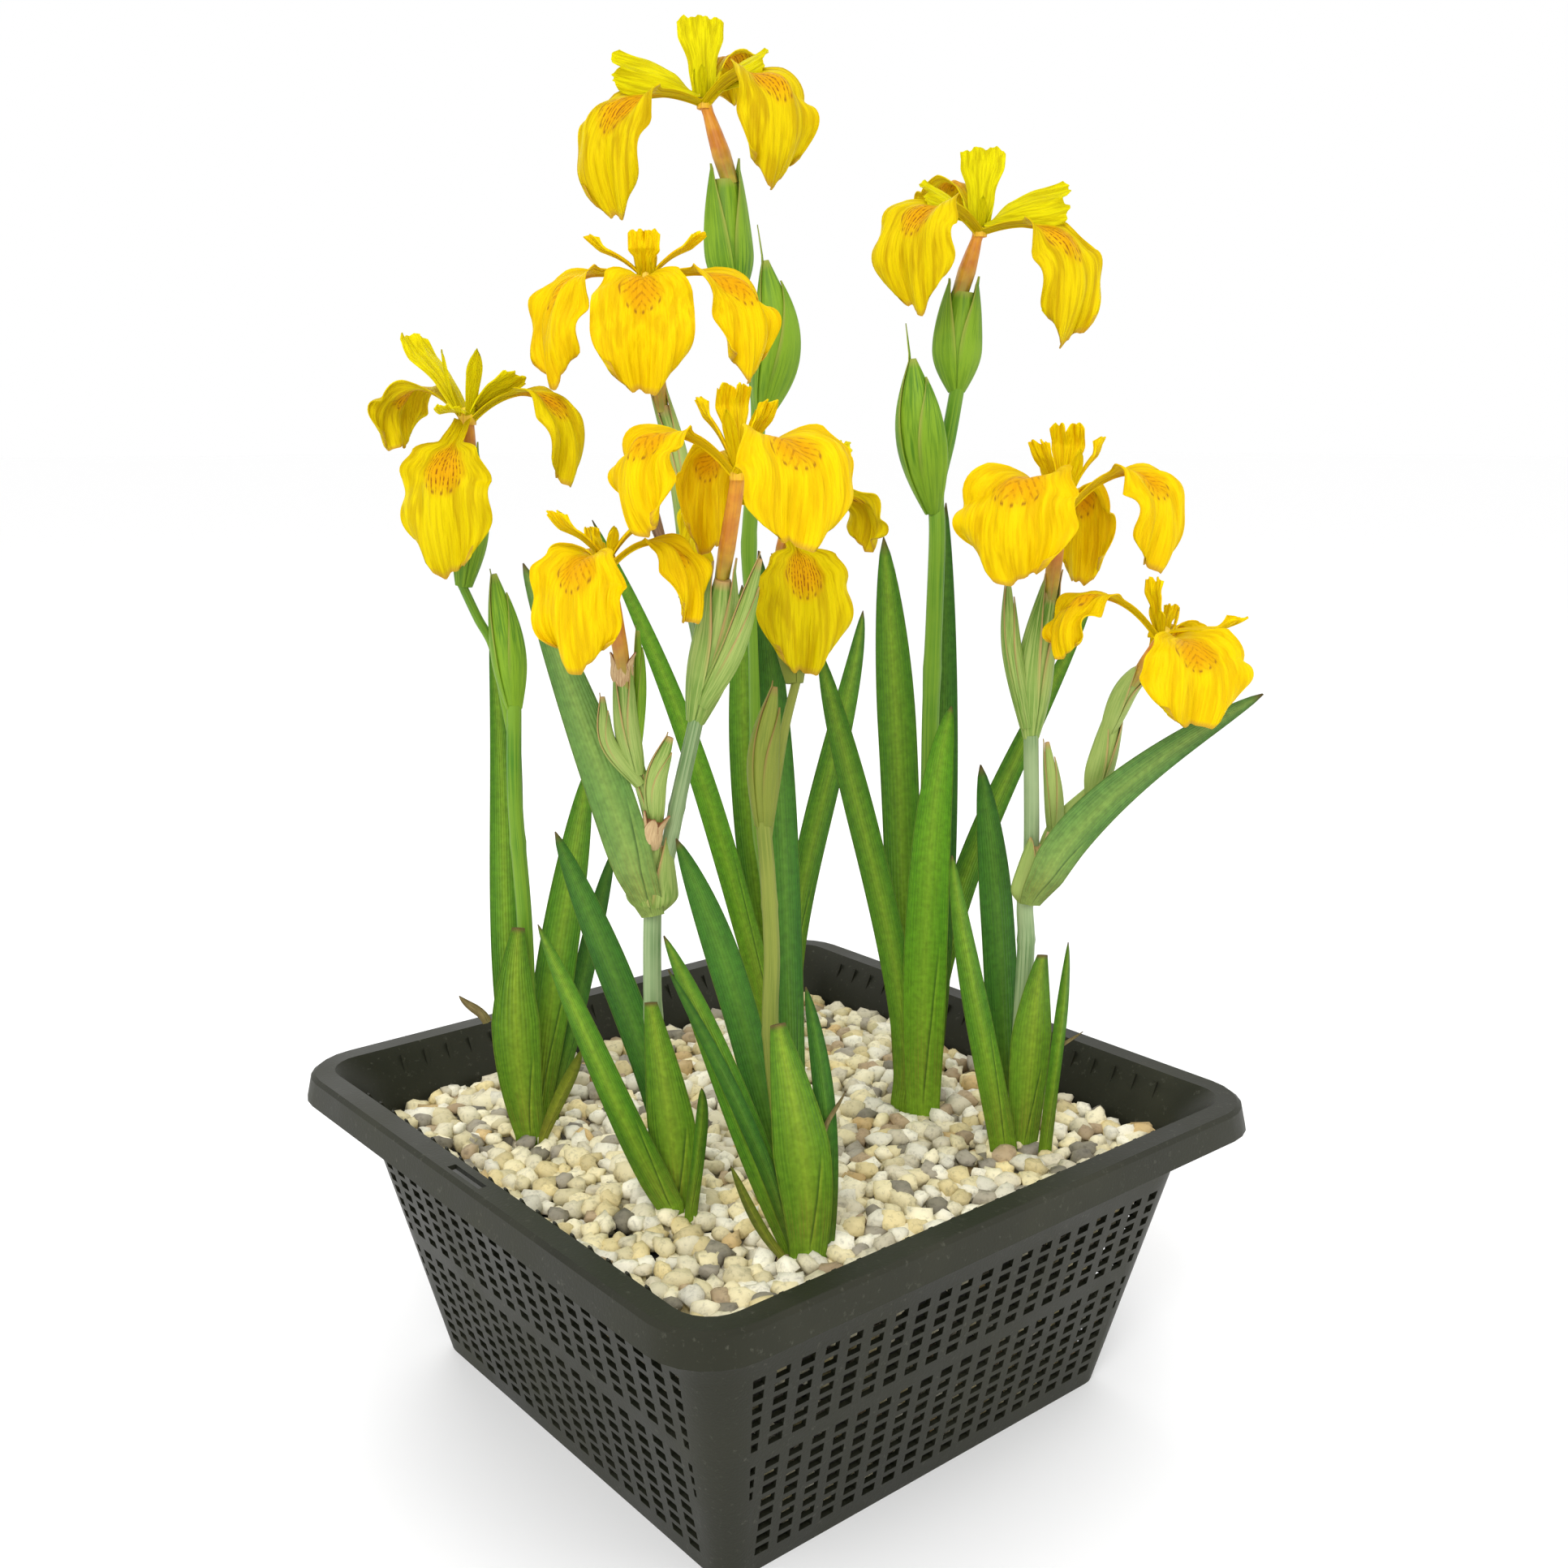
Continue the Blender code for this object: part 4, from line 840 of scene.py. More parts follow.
# Shoots of several spathes and bracts: fan, then (width, top width, points, kind, shut) of each
SHOOTS = {
    "fan_b_spathe": ("b", [
        (14.0, 6.5, [(10, -6, 191), (19, -12, 221), (24, -20, 247)], "glaucous", False),
        (8.0, 1.4, [(14, -10, 198), (27, -18, 221), (38, -26, 251)], "glaucous", True),
    ]),
    "fan_b_back_spathe": ("b", [
        (7.5, 5.0, [(-3, 37, 231), (-3, 41, 256), (-8, 45, 284), (-15, 48, 307)], "glaucous", False),
        (3.0, 2.4, [(-3, 37, 234), (-9, 37, 243), (-13, 37, 254)], "glaucous", False),
        (4.6, 1.8, [(-12, 37, 251), (-18, 38, 269), (-22, 39, 284)], "brown", True),
    ]),
    "fan_e_spathe": ("e", [
        (14.0, 6.0, [(5, 0, 173), (5, -2, 203), (10, -4, 236)], "glaucous", False),
        (6.5, 1.4, [(2, -2, 178), (-7, -6, 211), (-10, -8, 238)], "glaucous", True),
    ]),
    "fan_b_side_shoot": ("b", [
        (17.0, 13.0, [(-8.8, 2.6, 116), (-9.2, 1.2, 126), (-9.4, -1.0, 146)], "glaucous", False),
        (4.6, 4.0, [(-8.5, -3.8, 130), (-7, -5, 152), (-12, -11, 180)], "glaucous", False),
        (7.5, 5.0, [(-11, -10, 172), (-13, -15, 190), (-12, -22, 212)], "glaucous", False),
        (4.2, 1.2, [(-11, -11, 178), (-8, -15, 204), (-7, -19, 225)], "green", True),
        (7.5, 2.5, [(-5.5, -5.5, 153), (-4, -10, 170), (2, -11, 186)], "glaucous", True),
        (5.5, 1.6, [(-10, -10, 168), (-20, -15, 184), (-21, -17, 201)], "glaucous", True),
        (7.0, 6.0, [(-7.5, -5.2, 143), (-7, -6.2, 149), (-5, -7.5, 155)], "papery", False),
        (6.6, 5.6, [(-13, -20, 206), (-12.6, -21, 211), (-12, -22, 216)], "papery", False),
    ]),
    "fan_e_side_shoot": ("e", [
        (15.0, 12.0, [(6.6, 2.6, 103), (8.0, 1.4, 112), (12.0, -1.0, 130)], "glaucous", False),
        (5.5, 4.5, [(13, 10, 108), (20, 8, 133), (36, 3, 151)], "glaucous", False),
        (11.0, 6.0, [(34, 3, 147), (36, -1, 163), (38, -7, 184)], "glaucous", False),
        (9.0, 6.0, [(36, -4, 174), (39, -12, 192), (43, -19, 202)], "glaucous", False),
        (6.5, 2.0, [(20, 7, 128), (17, 3, 148), (12, 0, 171)], "glaucous", True),
        (6.5, 6.0, [(18, 7.5, 124), (20, 6.5, 131), (23, 6, 138)], "papery", False),
    ]),
}


def spathe_half(width, top_width, t):
    foot_width = min(width * SPATHE_FOOT, FOOT_LIMIT)
    if t < SPATHE_BELLY:
        return (foot_width + (width - foot_width) * math.sin(math.pi / 2 * t / SPATHE_BELLY)) / 2
    beyond = (t - SPATHE_BELLY) / (1 - SPATHE_BELLY)
    return (top_width + (width - top_width) * math.cos(math.pi / 2 * beyond)) / 2


def make_spathe(name, fan, width, top_width, points, kind, shut):
    """The rolled body, and over it keeled bracts whose free tips stand off at the top."""
    line = [Vector(point) for point in points]

    def rolled(middle, side, front, angle, half, swell):
        out = side * math.cos(angle) + front * SPATHE_DEPTH * math.sin(angle)
        return fan_frames[fan] @ (middle + out * half * swell)

    def body_place(u, v):
        half = spathe_half(width, top_width, v) * (0.94 if shut else 0.94 - 0.10 * max(v - 0.5, 0))
        lap = 1 + 0.05 * ((u + 0.35 * v) % 1.0)
        return rolled(*section_frame(line, v if shut else SPATHE_OPEN * v), 2 * math.pi * u, half, lap)

    def bract_place(turn, reach, wrap, tip_out):
        def place(u, v):
            t = v * reach
            inside = min(t, 1.0)
            middle, side, front = section_frame(line, inside)
            past = (line[-1] - line[-2]).normalized() * (t - inside) * (line[-1] - line[0]).length
            half = spathe_half(width, top_width, inside) * (1.03 + tip_out * max(v - 0.6, 0)) + BRACT_CLEAR
            around = wrap * max(1 - v ** 3.4, 0.0) ** 0.85
            angle = math.radians(turn) + (u - 0.5) * 2 * math.pi * around
            keel = 1 + 0.10 * math.exp(-((u - 0.5) / 0.10) ** 2)
            return rolled(middle + past, side, front, angle, half, keel)
        return place

    body = add_sheet(name, 20, 26, body_place)
    close_up(body)
    smooth(body, 50)
    pieces = [body]
    form = kind if kind in BRACTS else "open"
    if shut:
        form = "awned" if width > AWNED else "shut"
    for bract_values in BRACTS[form]:
        bract = add_sheet(name + "_bract", 14, 26, bract_place(*bract_values))
        thicken(bract, BRACT_THICKNESS)
        smooth(bract, 60)
        pieces.append(bract)
    for piece in pieces:
        piece.data.materials.append(spathe_skins[kind])
    return join(pieces, name)


def spathe_material(name, low, high, dry):
    """Stem skin, with its edges and its tip gone dry."""
    mat = stalk_material(name, low, high, 0.5)
    skin = mat.node_tree.nodes["Principled BSDF"].inputs["Base Color"].links[0].from_socket
    around, along = sheet_uv(mat)
    edge = calc(mat, "ABSOLUTE", calc(mat, "MULTIPLY_ADD", around, 2.0, -1.0))
    rim = times(mat, ramp(mat, edge, [(0.84, 0.0), (0.98, 1.0)]),
                ramp(mat, along, [(0.25, 0.0), (0.6, 1.0)]))
    tip = ramp(mat, along, [(0.93, 0.0), (1.0, 1.0)])
    dress(mat, colour=blend(mat, calc(mat, "MAXIMUM", rim, tip), skin, dry))
    return mat


spathe_skins = {
    kind: spathe_material(*recipe) for kind, recipe in {
        "green": ("spathe green", (0.058, 0.170, 0.005), (0.200, 0.350, 0.016), (0.280, 0.320, 0.050)),
        "glaucous": ("spathe blue-green", (0.100, 0.220, 0.020), (0.330, 0.420, 0.110),
                     (0.450, 0.290, 0.110)),
        "olive": ("spathe olive", (0.100, 0.150, 0.012), (0.190, 0.220, 0.028), (0.230, 0.150, 0.040)),
        "papery": ("spathe papery remains", (0.330, 0.170, 0.070), (0.640, 0.470, 0.250),
                   (0.260, 0.110, 0.045)),
        "brown": ("spathe dried", (0.120, 0.065, 0.035), (0.260, 0.150, 0.080), (0.200, 0.100, 0.045)),
    }.items()
}
for name, values in SPATHES.items():
    settle(make_spathe(name + "_bracts", *values), name)
for name, (fan, shoot) in SHOOTS.items():
    members = [make_spathe(f"{name}_bracts_{i}", fan, *values) for i, values in enumerate(shoot)]
    settle(join(members, name + "_bracts"), name)


# Flowers
# Each flower is soft tissue: three broad drooping falls on narrow claws, three arched style arms
# above them with a toothed crest, and three small upright standards, all on an orange tube.

HUB_RADIUS = 3.6
HUB_LEVEL = 3.4
FALL_THICKNESS, ARM_THICKNESS, STANDARD_THICKNESS = 0.00045, 0.0006, 0.0005
# Half widths from the hub to the tip, as shares of the greatest width
FALL_WIDTHS = ((0.0, 0.10), (0.24, 0.135), (0.37, 0.37), (0.52, 0.50), (0.80, 0.53), (1.0, 0.49))
ARM_WIDTHS = ((0.0, 0.26), (0.25, 0.34), (0.65, 0.56), (1.0, 0.58))
STANDARD_WIDTHS = ((0.0, 0.30), (0.72, 0.52), (1.0, 0.42))
TUBE_ROOT = 8.0              # how far a tube runs down inside its spathe
CRESTS = {"lemon": (0.10, 0.09), "warm": (0.50, 0.20), "olive": (0.20, 0.12)}    # curl and cleft
# Each row is a fall (azimuth from the viewer, reach, rise, drop, distance of the tip from the
# axis, width, twist) and the style arm above it (azimuth, length, rise, width, twist, roll), in mm
# and degrees. Then the length and the width of the standards, and the shade of yellow.
FLOWER_FORMS = {
    "broad": ([(-64, 48, 4, 52, 41, 34, 34, -78, 40, 11, 18, 10, -64),
               (52, 46, 11, 38, 37, 38, -16, 70, 29, 14, 15, -10, 54),
               (158, 35, 22, -7, 40, 30, 0, 190, 13, 36, 18, 0, 0)], 14, 4, "lemon"),
    "open": ([(-98, 37, 5, 37, 35, 30, 46, -82, 21, 12, 6, 30, 0),
              (0, 25, 3, 41, 20, 36, 0, 0, 10, 12, 10, 0, 0),
              (84, 38, 5, 35, 37, 28, -40, 80, 21, 13, 6, -30, 0)], 12, 4, "warm"),
    "tossed": ([(-128, 42, 12, 12, 42, 24, 0, -120, 28, 28, 18, 12, 0),
                (-20, 23, -8, 60, 19, 37, 4, -22, 15, 2, 10, 0, 0),
                (84, 39, 11, 25, 37, 21, -30, 74, 22, 14, 10, -20, -20)], 25, 6, "olive"),
    "high": ([(-155, 30, 8, 28, 28, 22, 0, -158, 8, 24, 10, 0, 0),
              (-80, 35, 13, 20, 30, 27, 38, -84, 14, 20, 6, 20, 0),
              (38, 35, 12, 23, 31, 40, -8, 46, 15, 19, 6, -20, 0)], 19, 5, "warm"),
    "low": ([(-145, 24, 5, 24, 22, 24, 0, -140, 10, 8, 5, 0, 0),
             (-20, 27, 5, 34, 22, 32, 0, -52, 20, 13, 7, 20, 0),
             (92, 27, 8, 21, 27, 18, -40, 84, 16, 14, 7, -20, 0)], 11, 4, "warm"),
    "nodding": ([(-78, 39, 16, 6, 41, 20, 20, -60, 8, 20, 7, 10, 0),
                 (16, 30, 3, 31, 27, 42, 0, 72, 29, 4, 8, -30, 0),
                 (150, 24, 5, 22, 22, 24, 0, 150, 10, 9, 5, 0, 0)], 11, 4, "warm"),
}
# Fan, form, hub (across, back, height), foot of the tube, size, mirrored
FLOWERS = {
    "fan_a_flower": ("a", "tossed", (-15, 3, 299), (-15, 3, 286), 1.00, False),
    "fan_b_flower_high": ("b", "high", (34, -41, 281), (24, -20, 248), 1.00, False),
    "fan_b_flower_low": ("b", "low", (-13, -36, 251), (-12, -22, 213), 1.00, False),
    "fan_b_flower_back": ("b", "open", (-20, 50, 349), (-15, 48, 308), 1.03, False),
    "fan_c_flower": ("c", "tossed", (7, 64, 260), (4, 61, 248), 0.92, True),
    "fan_d_flower": ("d", "broad", (20, 11, 373), (14, 11, 353), 0.88, True),
    "fan_e_flower_high": ("e", "high", (12, -6, 265), (10, -4, 237), 1.15, True),
    "fan_e_flower_low": ("e", "nodding", (48, -25, 216), (43, -19, 203), 1.00, False),
    "fan_f_flower": ("f", "broad", (-35, 11, 435), (-26, 11, 408), 1.00, False),
}


def bearing(azimuth):
    """Unit vectors outwards and around at an azimuth from the viewer."""
    angle = math.radians(azimuth)
    return (Vector((math.sin(angle), -math.cos(angle), 0)),
            Vector((math.cos(angle), math.sin(angle), 0)))


def between(t, table):
    """A smooth value at t from a table of (t, value)."""
    for (t0, value0), (t1, value1) in zip(table, table[1:]):
        if t <= t1:
            share = (t - t0) / (t1 - t0)
            return value0 + (value1 - value0) * (share * share * (3 - 2 * share))
    return table[-1][1]


def make_fall(name, place_of, row, mirror, turn, seed):
    """A fall: narrow channelled claw, then a broad blade with soft folds and a ruffled edge."""
    azimuth, reach, rise, drop, tip, width, twist = row
    base = mirror * azimuth - turn
    out = bearing(base)[0]
    arc = (Vector((HUB_RADIUS - 1.2, 0)), Vector((reach * 0.62, rise * 1.9)),
           Vector((reach * 1.28, rise - drop * 0.10)), Vector((tip, -drop)))

    def place(u, v):
        s = 2 * u - 1
        end = min((1 - v) / 0.22, 1.0)
        ragged = 0.009 * math.sin(6 * s + seed) + 0.005 * math.sin(15 * s + 2 * seed) + 0.095 * s * s
        t = v * (1 - 0.06 * abs(s) ** 2.6 * end - ragged * (1 - end) - 0.008)
        point, slope = along_arc(arc, t, 0.03)
        facing, around = bearing(base + mirror * twist * min(t / 0.4, 1.0))
        normal = facing * -slope.y + Vector((0, 0, slope.x))
        rounding = math.sqrt(max(1 - (1 - end) ** 2, 0.0))
        half = max(width * between(t, FALL_WIDTHS), 2.2) * (0.60 + 0.40 * rounding)
        spread = min(max((t - 0.3) / 0.25, 0), 1)
        cup = half * (0.13 * spread * (1 + 0.8 * t) * s * s - 0.42 * (1 - spread) * s * s)
        groove = 0.75 * math.exp(-(s / 0.09) ** 2) * (1 - 0.4 * t)
        fold = (1.75 * math.sin(4.6 * s + seed + 3.5 * t)
                + 0.80 * math.sin(9 * s + 2 * seed - 6 * t)
                + 0.45 * math.sin(17 * t + 5 * s + seed)
                + 0.22 * math.sin(24 * s + 9 * t + 3 * seed)) * spread
        ruffle = 2.6 * math.sin(19 * t + 2.3 * seed + 1.5 * s) * abs(s) ** 3.2 * spread
        lift = fold + ruffle - cup - groove
        centre = out * point.x + Vector((0, 0, point.y - HUB_LEVEL / 2))
        return place_of @ (centre + around * half * s + normal * lift)

    fall = add_sheet(name, 26, 44, place)
    thicken(fall, FALL_THICKNESS)
    return fall


def make_arm(name, place_of, row, mirror, turn, seed, curl, cleft):
    """A style arm: an arched strap with a keel, which ends in two toothed lobes of a crest."""
    azimuth, length, rise, width, twist, roll = row
    base = mirror * azimuth - turn
    out = bearing(base)[0]
    start, end = Vector((HUB_RADIUS - 1.6, HUB_LEVEL / 2)), Vector((length, rise))
    arc = (start, start + Vector((length * 0.30, rise * 0.55)),
           end - Vector((length * 0.30, rise * 0.10)), end)

    def place(u, v):
        s = 2 * u - 1
        notch = cleft * max(1 - abs(s) / 0.35, 0) ** 1.2
        tooth = 0.16 * cleft * (math.sin(13 * abs(s) + seed) + 0.6 * math.sin(23 * s + 2 * seed))
        t = v * (1.02 - (notch + tooth + 0.10 * s ** 4) * max(v - 0.55, 0) / 0.45)
        inside = min(t, 1.0)
        point, slope = along_arc(arc, inside, 0.05)
        point = point + slope * (t - inside) * length
        facing, around = bearing(base + mirror * twist * inside)
        normal = facing * -slope.y + Vector((0, 0, slope.x))
        tilt = math.radians(mirror * roll * min(inside / 0.3, 1.0))
        tip_over = Matrix.Rotation(tilt, 3, around.cross(normal))
        around, normal = tip_over @ around, tip_over @ normal
        half = max(width * between(inside, ARM_WIDTHS), 1.6)
        arch = -0.20 * half * s * s + 0.30 * math.exp(-(s / 0.18) ** 2)
        crest = curl * width * (max(v - 0.66, 0) / 0.34) ** 1.5
        ruffle = (0.05 * width * math.sin(8 * s + seed) + 0.03 * width * math.sin(19 * s + 7 * v)) * v ** 3
        centre = out * point.x + Vector((0, 0, point.y))
        return place_of @ (centre + around * half * s + normal * (arch + crest + ruffle))

    arm = add_sheet(name, 20, 26, place)
    thicken(arm, ARM_THICKNESS)
    return arm


def make_standard(name, place_of, azimuth, length, width, seed):
    """A standard: one of the small upright petals between the style arms."""
    out, around = bearing(azimuth)

    def place(u, v):
        s = 2 * u - 1
        lean = 0.30 + 0.12 * math.sin(2 * v + seed)
        centre = (out * (HUB_RADIUS - 0.8 + length * lean * v)
                  + Vector((0, 0, length * v * (1 - 0.05 * s * s))))
        rounding = math.sqrt(max(1 - max((v - 0.7) / 0.3, 0) ** 2, 0)) * 0.92 + 0.08
        half = max(width * between(v, STANDARD_WIDTHS), 1.0) * rounding
        hollow = 0.25 * half * s * s - 0.2 * math.sin(4 * v + seed) * s
        return place_of @ (centre + around * half * s - out * hollow)

    standard = add_sheet(name, 8, 14, place)
    thicken(standard, STANDARD_THICKNESS)
    return standard


def make_tube(name, place_of, hub, foot, size, base):
    """The perianth tube: from the spathe up to the flower, flared where the falls leave it."""
    down = (Vector(foot) - Vector(hub)) / size
    lean = Vector((0, 0, -1)).rotation_difference(down)
    profile = [(1 + TUBE_ROOT / (down.length * size), base - 0.4), (0.80, base), (0.45, (base + 2.4) / 2),
               (0.2, 2.4), (0.05, 2.6)]
    rings = [(down * share, radius, lean.to_matrix()) for share, radius in profile]
    hub_rings = ((-HUB_LEVEL, 3.2), (0.0, 3.4), (HUB_LEVEL * 0.7, 2.6), (HUB_LEVEL, 1.4))
    rings += [(Vector((0, 0, height)), radius, Matrix.Identity(3)) for height, radius in hub_rings]
    if down.length < HUB_LEVEL * 2.2:
        rings = rings[:2] + rings[5:]

    def place(u, v):
        at = v * (len(rings) - 1)
        low = min(int(at), len(rings) - 2)
        share = at - low
        angle = 2 * math.pi * u
        flute = 1 + 0.05 * math.cos(6 * angle)
        out = Vector((math.cos(angle), math.sin(angle), 0))
        below, above = (centre + tilt @ out * radius * flute for centre, radius, tilt in rings[low:low + 2])
        return place_of @ below.lerp(above, share)

    tube = add_sheet(name, 18, (len(rings) - 1) * 4, place)
    close_up(tube)
    return tube


def signal_on(mat, colour, s, t, signal, lines_run, grain, patches):
    """The signal round the bend of a fall: an orange glow under broken brown lines and a border of
    short strokes. The lines run out along the fall, or to both sides of it like a herring-bone."""
    side = calc(mat, "ABSOLUTE", s)
    off = calc(mat, "DIVIDE", calc(mat, "SUBTRACT", t, 0.45), 0.24)
    spot = calc(mat, "ADD", calc(mat, "POWER", calc(mat, "ABSOLUTE", off), 2.0),
                calc(mat, "POWER", calc(mat, "DIVIDE", side, 0.50), 2.0))
    colour = blend(mat, ramp(mat, times(mat, spot, 0.5), [(0.12, 0.85), (0.60, 0.0)]), colour, SIGNAL_GLOW)
    along = lines_run == "along"
    if along:
        course = calc(mat, "MULTIPLY_ADD", side, 84.0, times(mat, t, 14.0))
    else:
        course = calc(mat, "SUBTRACT", times(mat, t, 78.0), times(mat, side, 44.0))
    wobble = times(mat, calc(mat, "SUBTRACT", grain, 0.5), 5.0)
    wave = calc(mat, "MULTIPLY_ADD", calc(mat, "SINE", calc(mat, "ADD", course, wobble)), 0.5, 0.5)
    lines = times(mat, ramp(mat, wave, [(0.66, 0.0), (0.86, 1.0)]),
                  ramp(mat, spot, [(0.55, 1.0), (0.98, 0.0)]))
    dashes = grain_on(mat, stretched(mat, (s, 16.0), (t, 34.0), (patches, 9.0)), 1.0, 2.0)
    broken = ramp(mat, dashes, [(0.42, 0.10), (0.56, 1.0 if along else 0.5)])
    colour = blend(mat, times(mat, lines, broken), colour, signal)
    strokes = calc(mat, "MULTIPLY_ADD", calc(mat, "SINE", times(mat, s, 40.0)), 0.5, 0.5)
    border = times(mat, ramp(mat, spot, [(0.70, 0.0), (0.85, 1.0), (0.98, 0.0)]),
                   ramp(mat, strokes, [(0.70, 0.0), (0.85, 1.0)]))
    return blend(mat, times(mat, border, ramp(mat, t, [(0.40, 0.0), (0.50, 0.8)])), colour, SIGNAL_BORDER)


def petal_material(name, pale, pleat_shade, vein, signal=None, lines_run="sideways"):
    """Petal tissue: fine fanning veins, painted shade in the hollows of the pleats, and on a fall its
    signal.
    """
    mat = new_material(name, pale, 0.5, 0.05)
    u, t = sheet_uv(mat)
    s = calc(mat, "MULTIPLY_ADD", u, 2.0, -1.0)
    here = place_on(mat)
    grain = grain_on(mat, here, 60.0, 3.0)
    patches = grain_on(mat, here, 16.0, 1.0)
    fanned = times(mat, s, calc(mat, "MULTIPLY_ADD", t, -9.0, 30.0))
    veins = grain_on(mat, stretched(mat, (fanned, 1.0), (t, 3.0), (grain, 1.5)), 1.0, 4.0, 0.6)
    pleats = grain_on(mat, stretched(mat, (s, 6.5), (t, 2.2), (patches, 9.0)), 1.0, 2.0)
    # painted shade: the darker colour lies where the pleats' bump is low
    colour = ramp(mat, pleats, [(0.38, pleat_shade), (0.56, pale)])
    colour = blend(mat, ramp(mat, veins, [(0.50, 0.0), (0.60, 0.28), (0.68, 0.45)]), colour, vein)
    if signal:
        colour = signal_on(mat, colour, s, t, signal, lines_run, grain, patches)
        colour = blend(mat, ramp(mat, t, [(0.978, 0.0), (0.996, 0.75)]), colour, PETAL_TIP)
    dress(mat, colour=colour, roughness=ramp(mat, veins, [(0.3, 0.44), (0.7, 0.60)]),
          height=calc(mat, "MULTIPLY_ADD", pleats, 3.5, veins), distance=0.0007, strength=0.75)
    shader = mat.node_tree.nodes["Principled BSDF"]
    shader.inputs["Subsurface Weight"].default_value = 0.25
    shader.inputs["Subsurface Radius"].default_value = (0.004, 0.003, 0.0005)
    shader.inputs["Subsurface Scale"].default_value = 0.4
    return mat


def tube_material():
    """Green at the foot, then brown-orange, paling to yellow under the petals, and finely lined."""
    mat = new_material("perianth tube", (0.60, 0.22, 0.01), 0.5)
    around, along = sheet_uv(mat)
    flush = ramp(mat, grain_on(mat, place_on(mat), 190.0, 4.0), [(0.4, 0.0), (0.75, 0.35)])
    lines = grain_on(mat, stretched(mat, (around, 26.0), (along, 4.0)), 1.0, 3.0)
    colour = ramp(mat, along, [(0.0, (0.22, 0.26, 0.03)), (0.16, (0.50, 0.17, 0.010)),
                               (0.45, (0.72, 0.27, 0.008)), (0.72, (0.80, 0.52, 0.010)),
                               (1.0, (0.86, 0.70, 0.02))])
    colour = blend(mat, ramp(mat, lines, [(0.45, 0.0), (0.70, 0.55)]), colour, (0.36, 0.10, 0.010))
    dress(mat, colour=blend(mat, flush, colour, (0.90, 0.55, 0.02)), height=lines,
          distance=0.0004, strength=0.5)
    return mat


SIGNAL_GLOW = (0.66, 0.31, 0.001)
SIGNAL_BORDER = (0.22, 0.07, 0.01)
PETAL_TIP = (0.45, 0.25, 0.03)
# the second colour of each recipe is the painted shade in the pleats
petal_skins = {
    shade: (petal_material(shade + " falls", *falls), petal_material(shade + " style arms", *arms))
    for shade, falls, arms in (
        ("lemon", ((0.680, 0.520, 0.0005), (0.510, 0.350, 0.0005), (0.390, 0.235, 0.0005),
                   (0.27, 0.08, 0.004), "along"),
         ((0.690, 0.620, 0.001), (0.530, 0.455, 0.001), (0.440, 0.350, 0.001))),
        ("warm", ((0.780, 0.545, 0.0005), (0.660, 0.425, 0.0003), (0.540, 0.305, 0.0003),
                  (0.30, 0.10, 0.004)),
         ((0.840, 0.610, 0.0005), (0.730, 0.460, 0.0005), (0.600, 0.330, 0.0005))),
        ("olive", ((0.680, 0.535, 0.001), (0.530, 0.385, 0.001), (0.390, 0.245, 0.001),
                   (0.26, 0.08, 0.004), "along"),
         ((0.730, 0.625, 0.001), (0.600, 0.500, 0.001), (0.480, 0.385, 0.001))),
    )
}
tube_skin = tube_material()


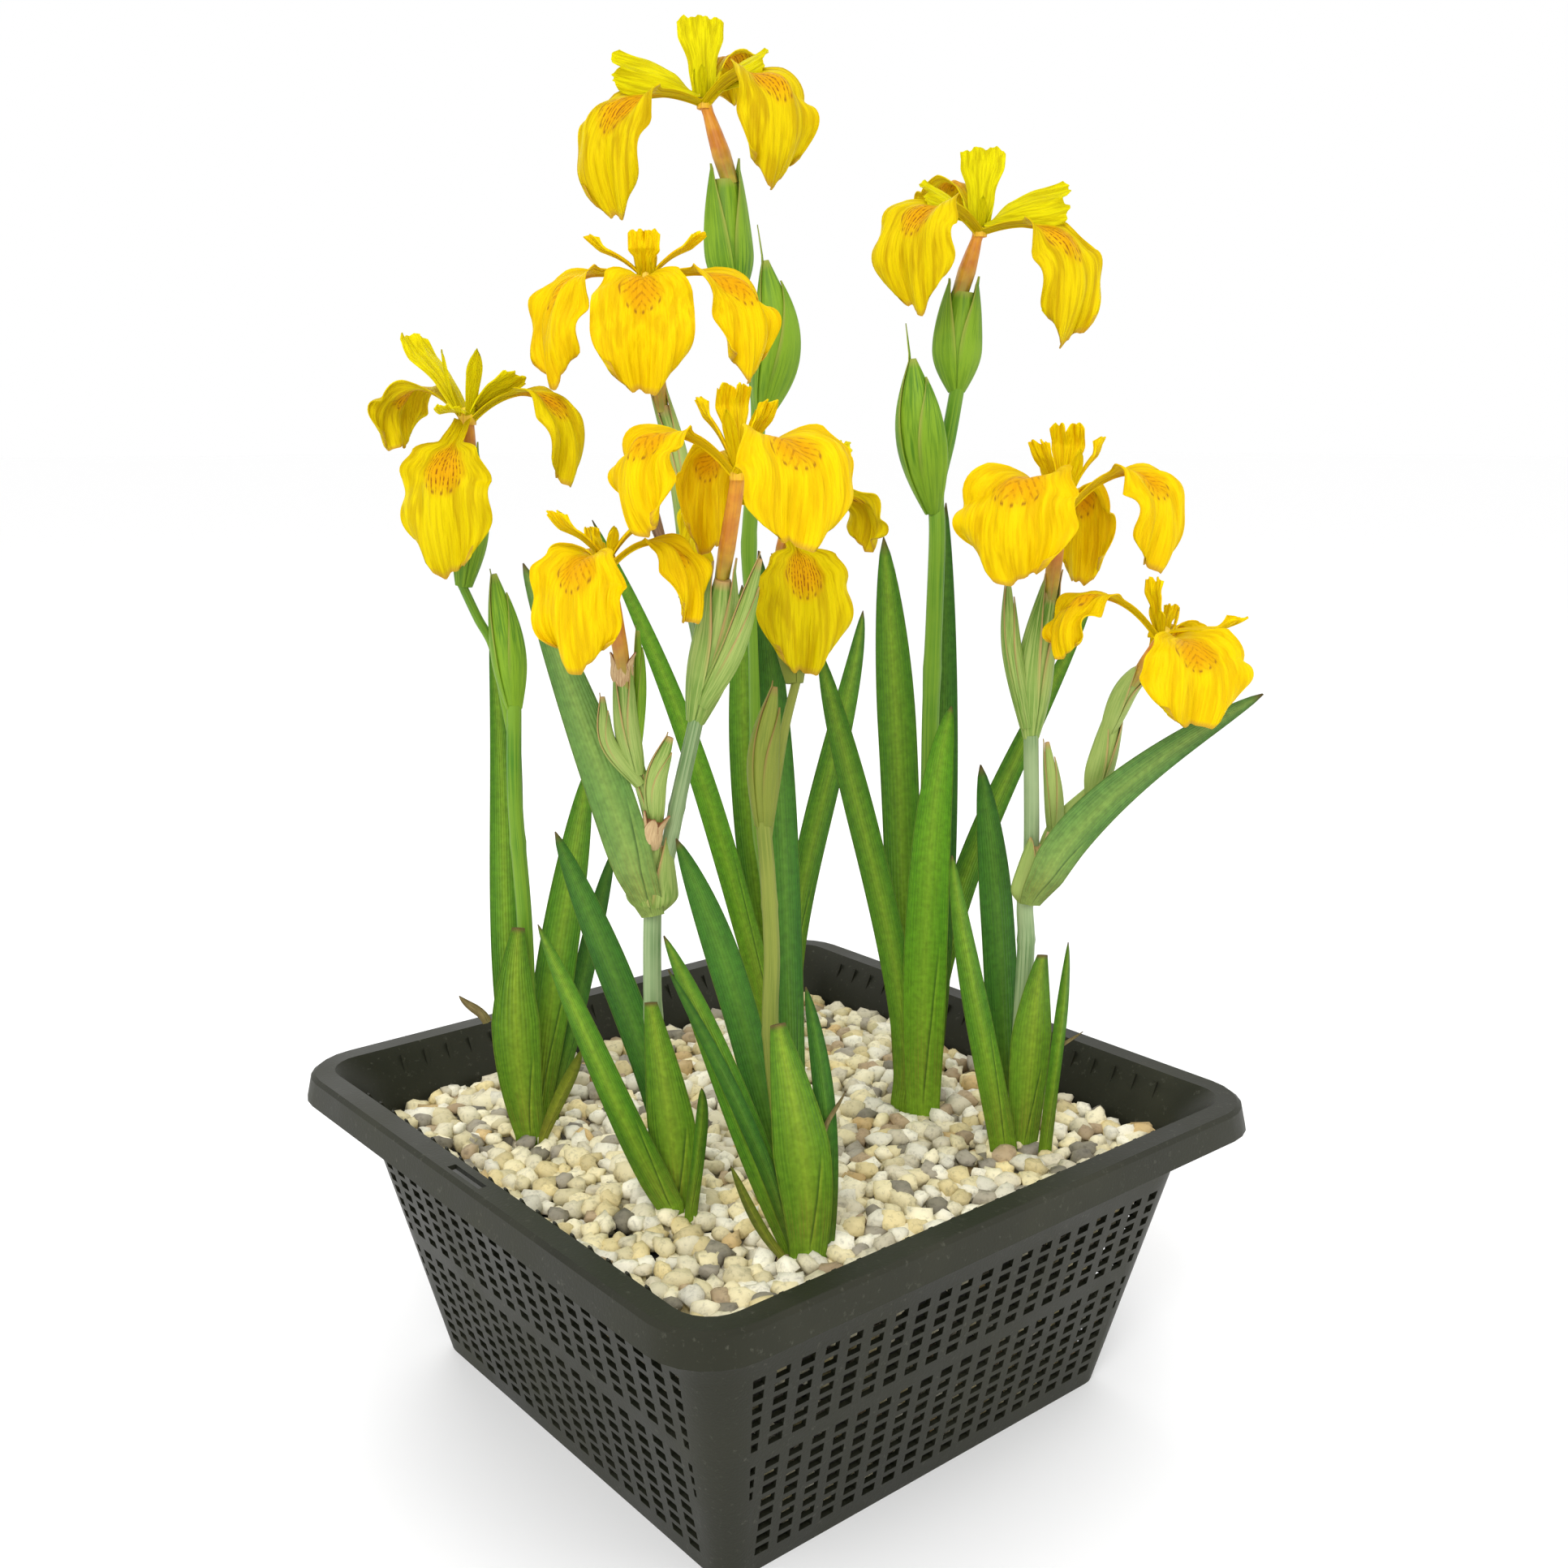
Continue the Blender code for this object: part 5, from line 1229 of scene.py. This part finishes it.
def make_flower(name, fan, form, hub, foot, size, mirrored):
    """All petals of a flower on its tube, as one piece."""
    rows, standard_length, standard_width, shade = FLOWER_FORMS[form]
    turn = FANS[fan][2]
    mirror = -1 if mirrored else 1
    place_of = fan_frames[fan] @ Matrix.Translation(hub) @ Matrix.Scale(size, 4)
    fall_skin, arm_skin = petal_skins[shade]
    rows = sorted(rows, key=lambda row: mirror * row[0])
    petals = []
    for i, row in enumerate(rows):
        seed = (sum(ord(letter) for letter in name) + 3 * i) % 11
        azimuth = mirror * row[0] - turn
        room = (mirror * rows[(i + 1) % 3][0] - turn - azimuth) % 360
        share = min(max(room - 48, 12) / 42, 1.0)
        fall = make_fall(name, place_of, row[:7], mirror, turn, seed)
        arm = make_arm(name, place_of, row[7:], mirror, turn, seed, *CRESTS[shade])
        standard = make_standard(name, place_of, azimuth + room / 2, standard_length * share,
                                 standard_width * share, seed)
        for petal, skin in ((fall, fall_skin), (arm, arm_skin), (standard, arm_skin)):
            petal.data.materials.append(skin)
            petals.append(petal)
    tube = make_tube(name, place_of, hub, foot, size, 4.0 if shade == "lemon" else 2.8)
    tube.data.materials.append(tube_skin)
    flower = join(petals + [tube], name + "_petals")
    smooth(flower, 75)
    settle(flower, name)


for name, values in FLOWERS.items():
    make_flower(name, *values)


# Floor, light and camera
# A plain pale floor under soft studio light from above and the left, seen from the front corner.

pick()
bpy.ops.mesh.primitive_plane_add(size=60.0)
floor = bpy.context.object
floor.name = "floor"
floor.data.materials.append(new_material("pale floor", (0.995, 0.995, 0.995), 0.95))

world = bpy.data.worlds.new("studio")
world.use_nodes = True
sky = world.node_tree.nodes["Background"]
sky.inputs["Color"].default_value = (1.0, 1.0, 1.0, 1)
sky.inputs["Strength"].default_value = 1.0
bpy.context.scene.world = world
bpy.context.scene.view_settings.view_transform = "Standard"
PLANT_MIDDLE = 0.28          # height of the middle of the plants, in m


def add_light(name, place, size, power):
    """A square soft light that is aimed at the middle of the plants."""
    light = bpy.data.lights.new(name, "AREA")
    light.shape = "SQUARE"
    light.size = size
    light.energy = power
    lamp = bpy.data.objects.new(name, light)
    lamp.location = place
    aim = Vector((0, 0, PLANT_MIDDLE)) - Vector(place)
    lamp.rotation_euler = aim.to_track_quat("-Z", "Y").to_euler()
    bpy.context.scene.collection.objects.link(lamp)


add_light("key", (-1.4, -1.0, 1.6), 1.2, 24)
add_light("fill", (1.0, -1.4, 0.8), 1.4, 5)
add_light("back", (0.5, 1.6, 1.5), 1.2, 6)

camera_data = bpy.data.cameras.new("camera")
camera_data.lens = 36.91
camera_data.sensor_width = 36.0
camera_data.clip_start = 0.01
camera = bpy.data.objects.new("camera", camera_data)
camera.location = (-0.4111, -0.5059, 0.4062)
camera.rotation_euler = (math.radians(90 - 12.28), 0, math.radians(-39.78))
bpy.context.scene.collection.objects.link(camera)
bpy.context.scene.camera = camera
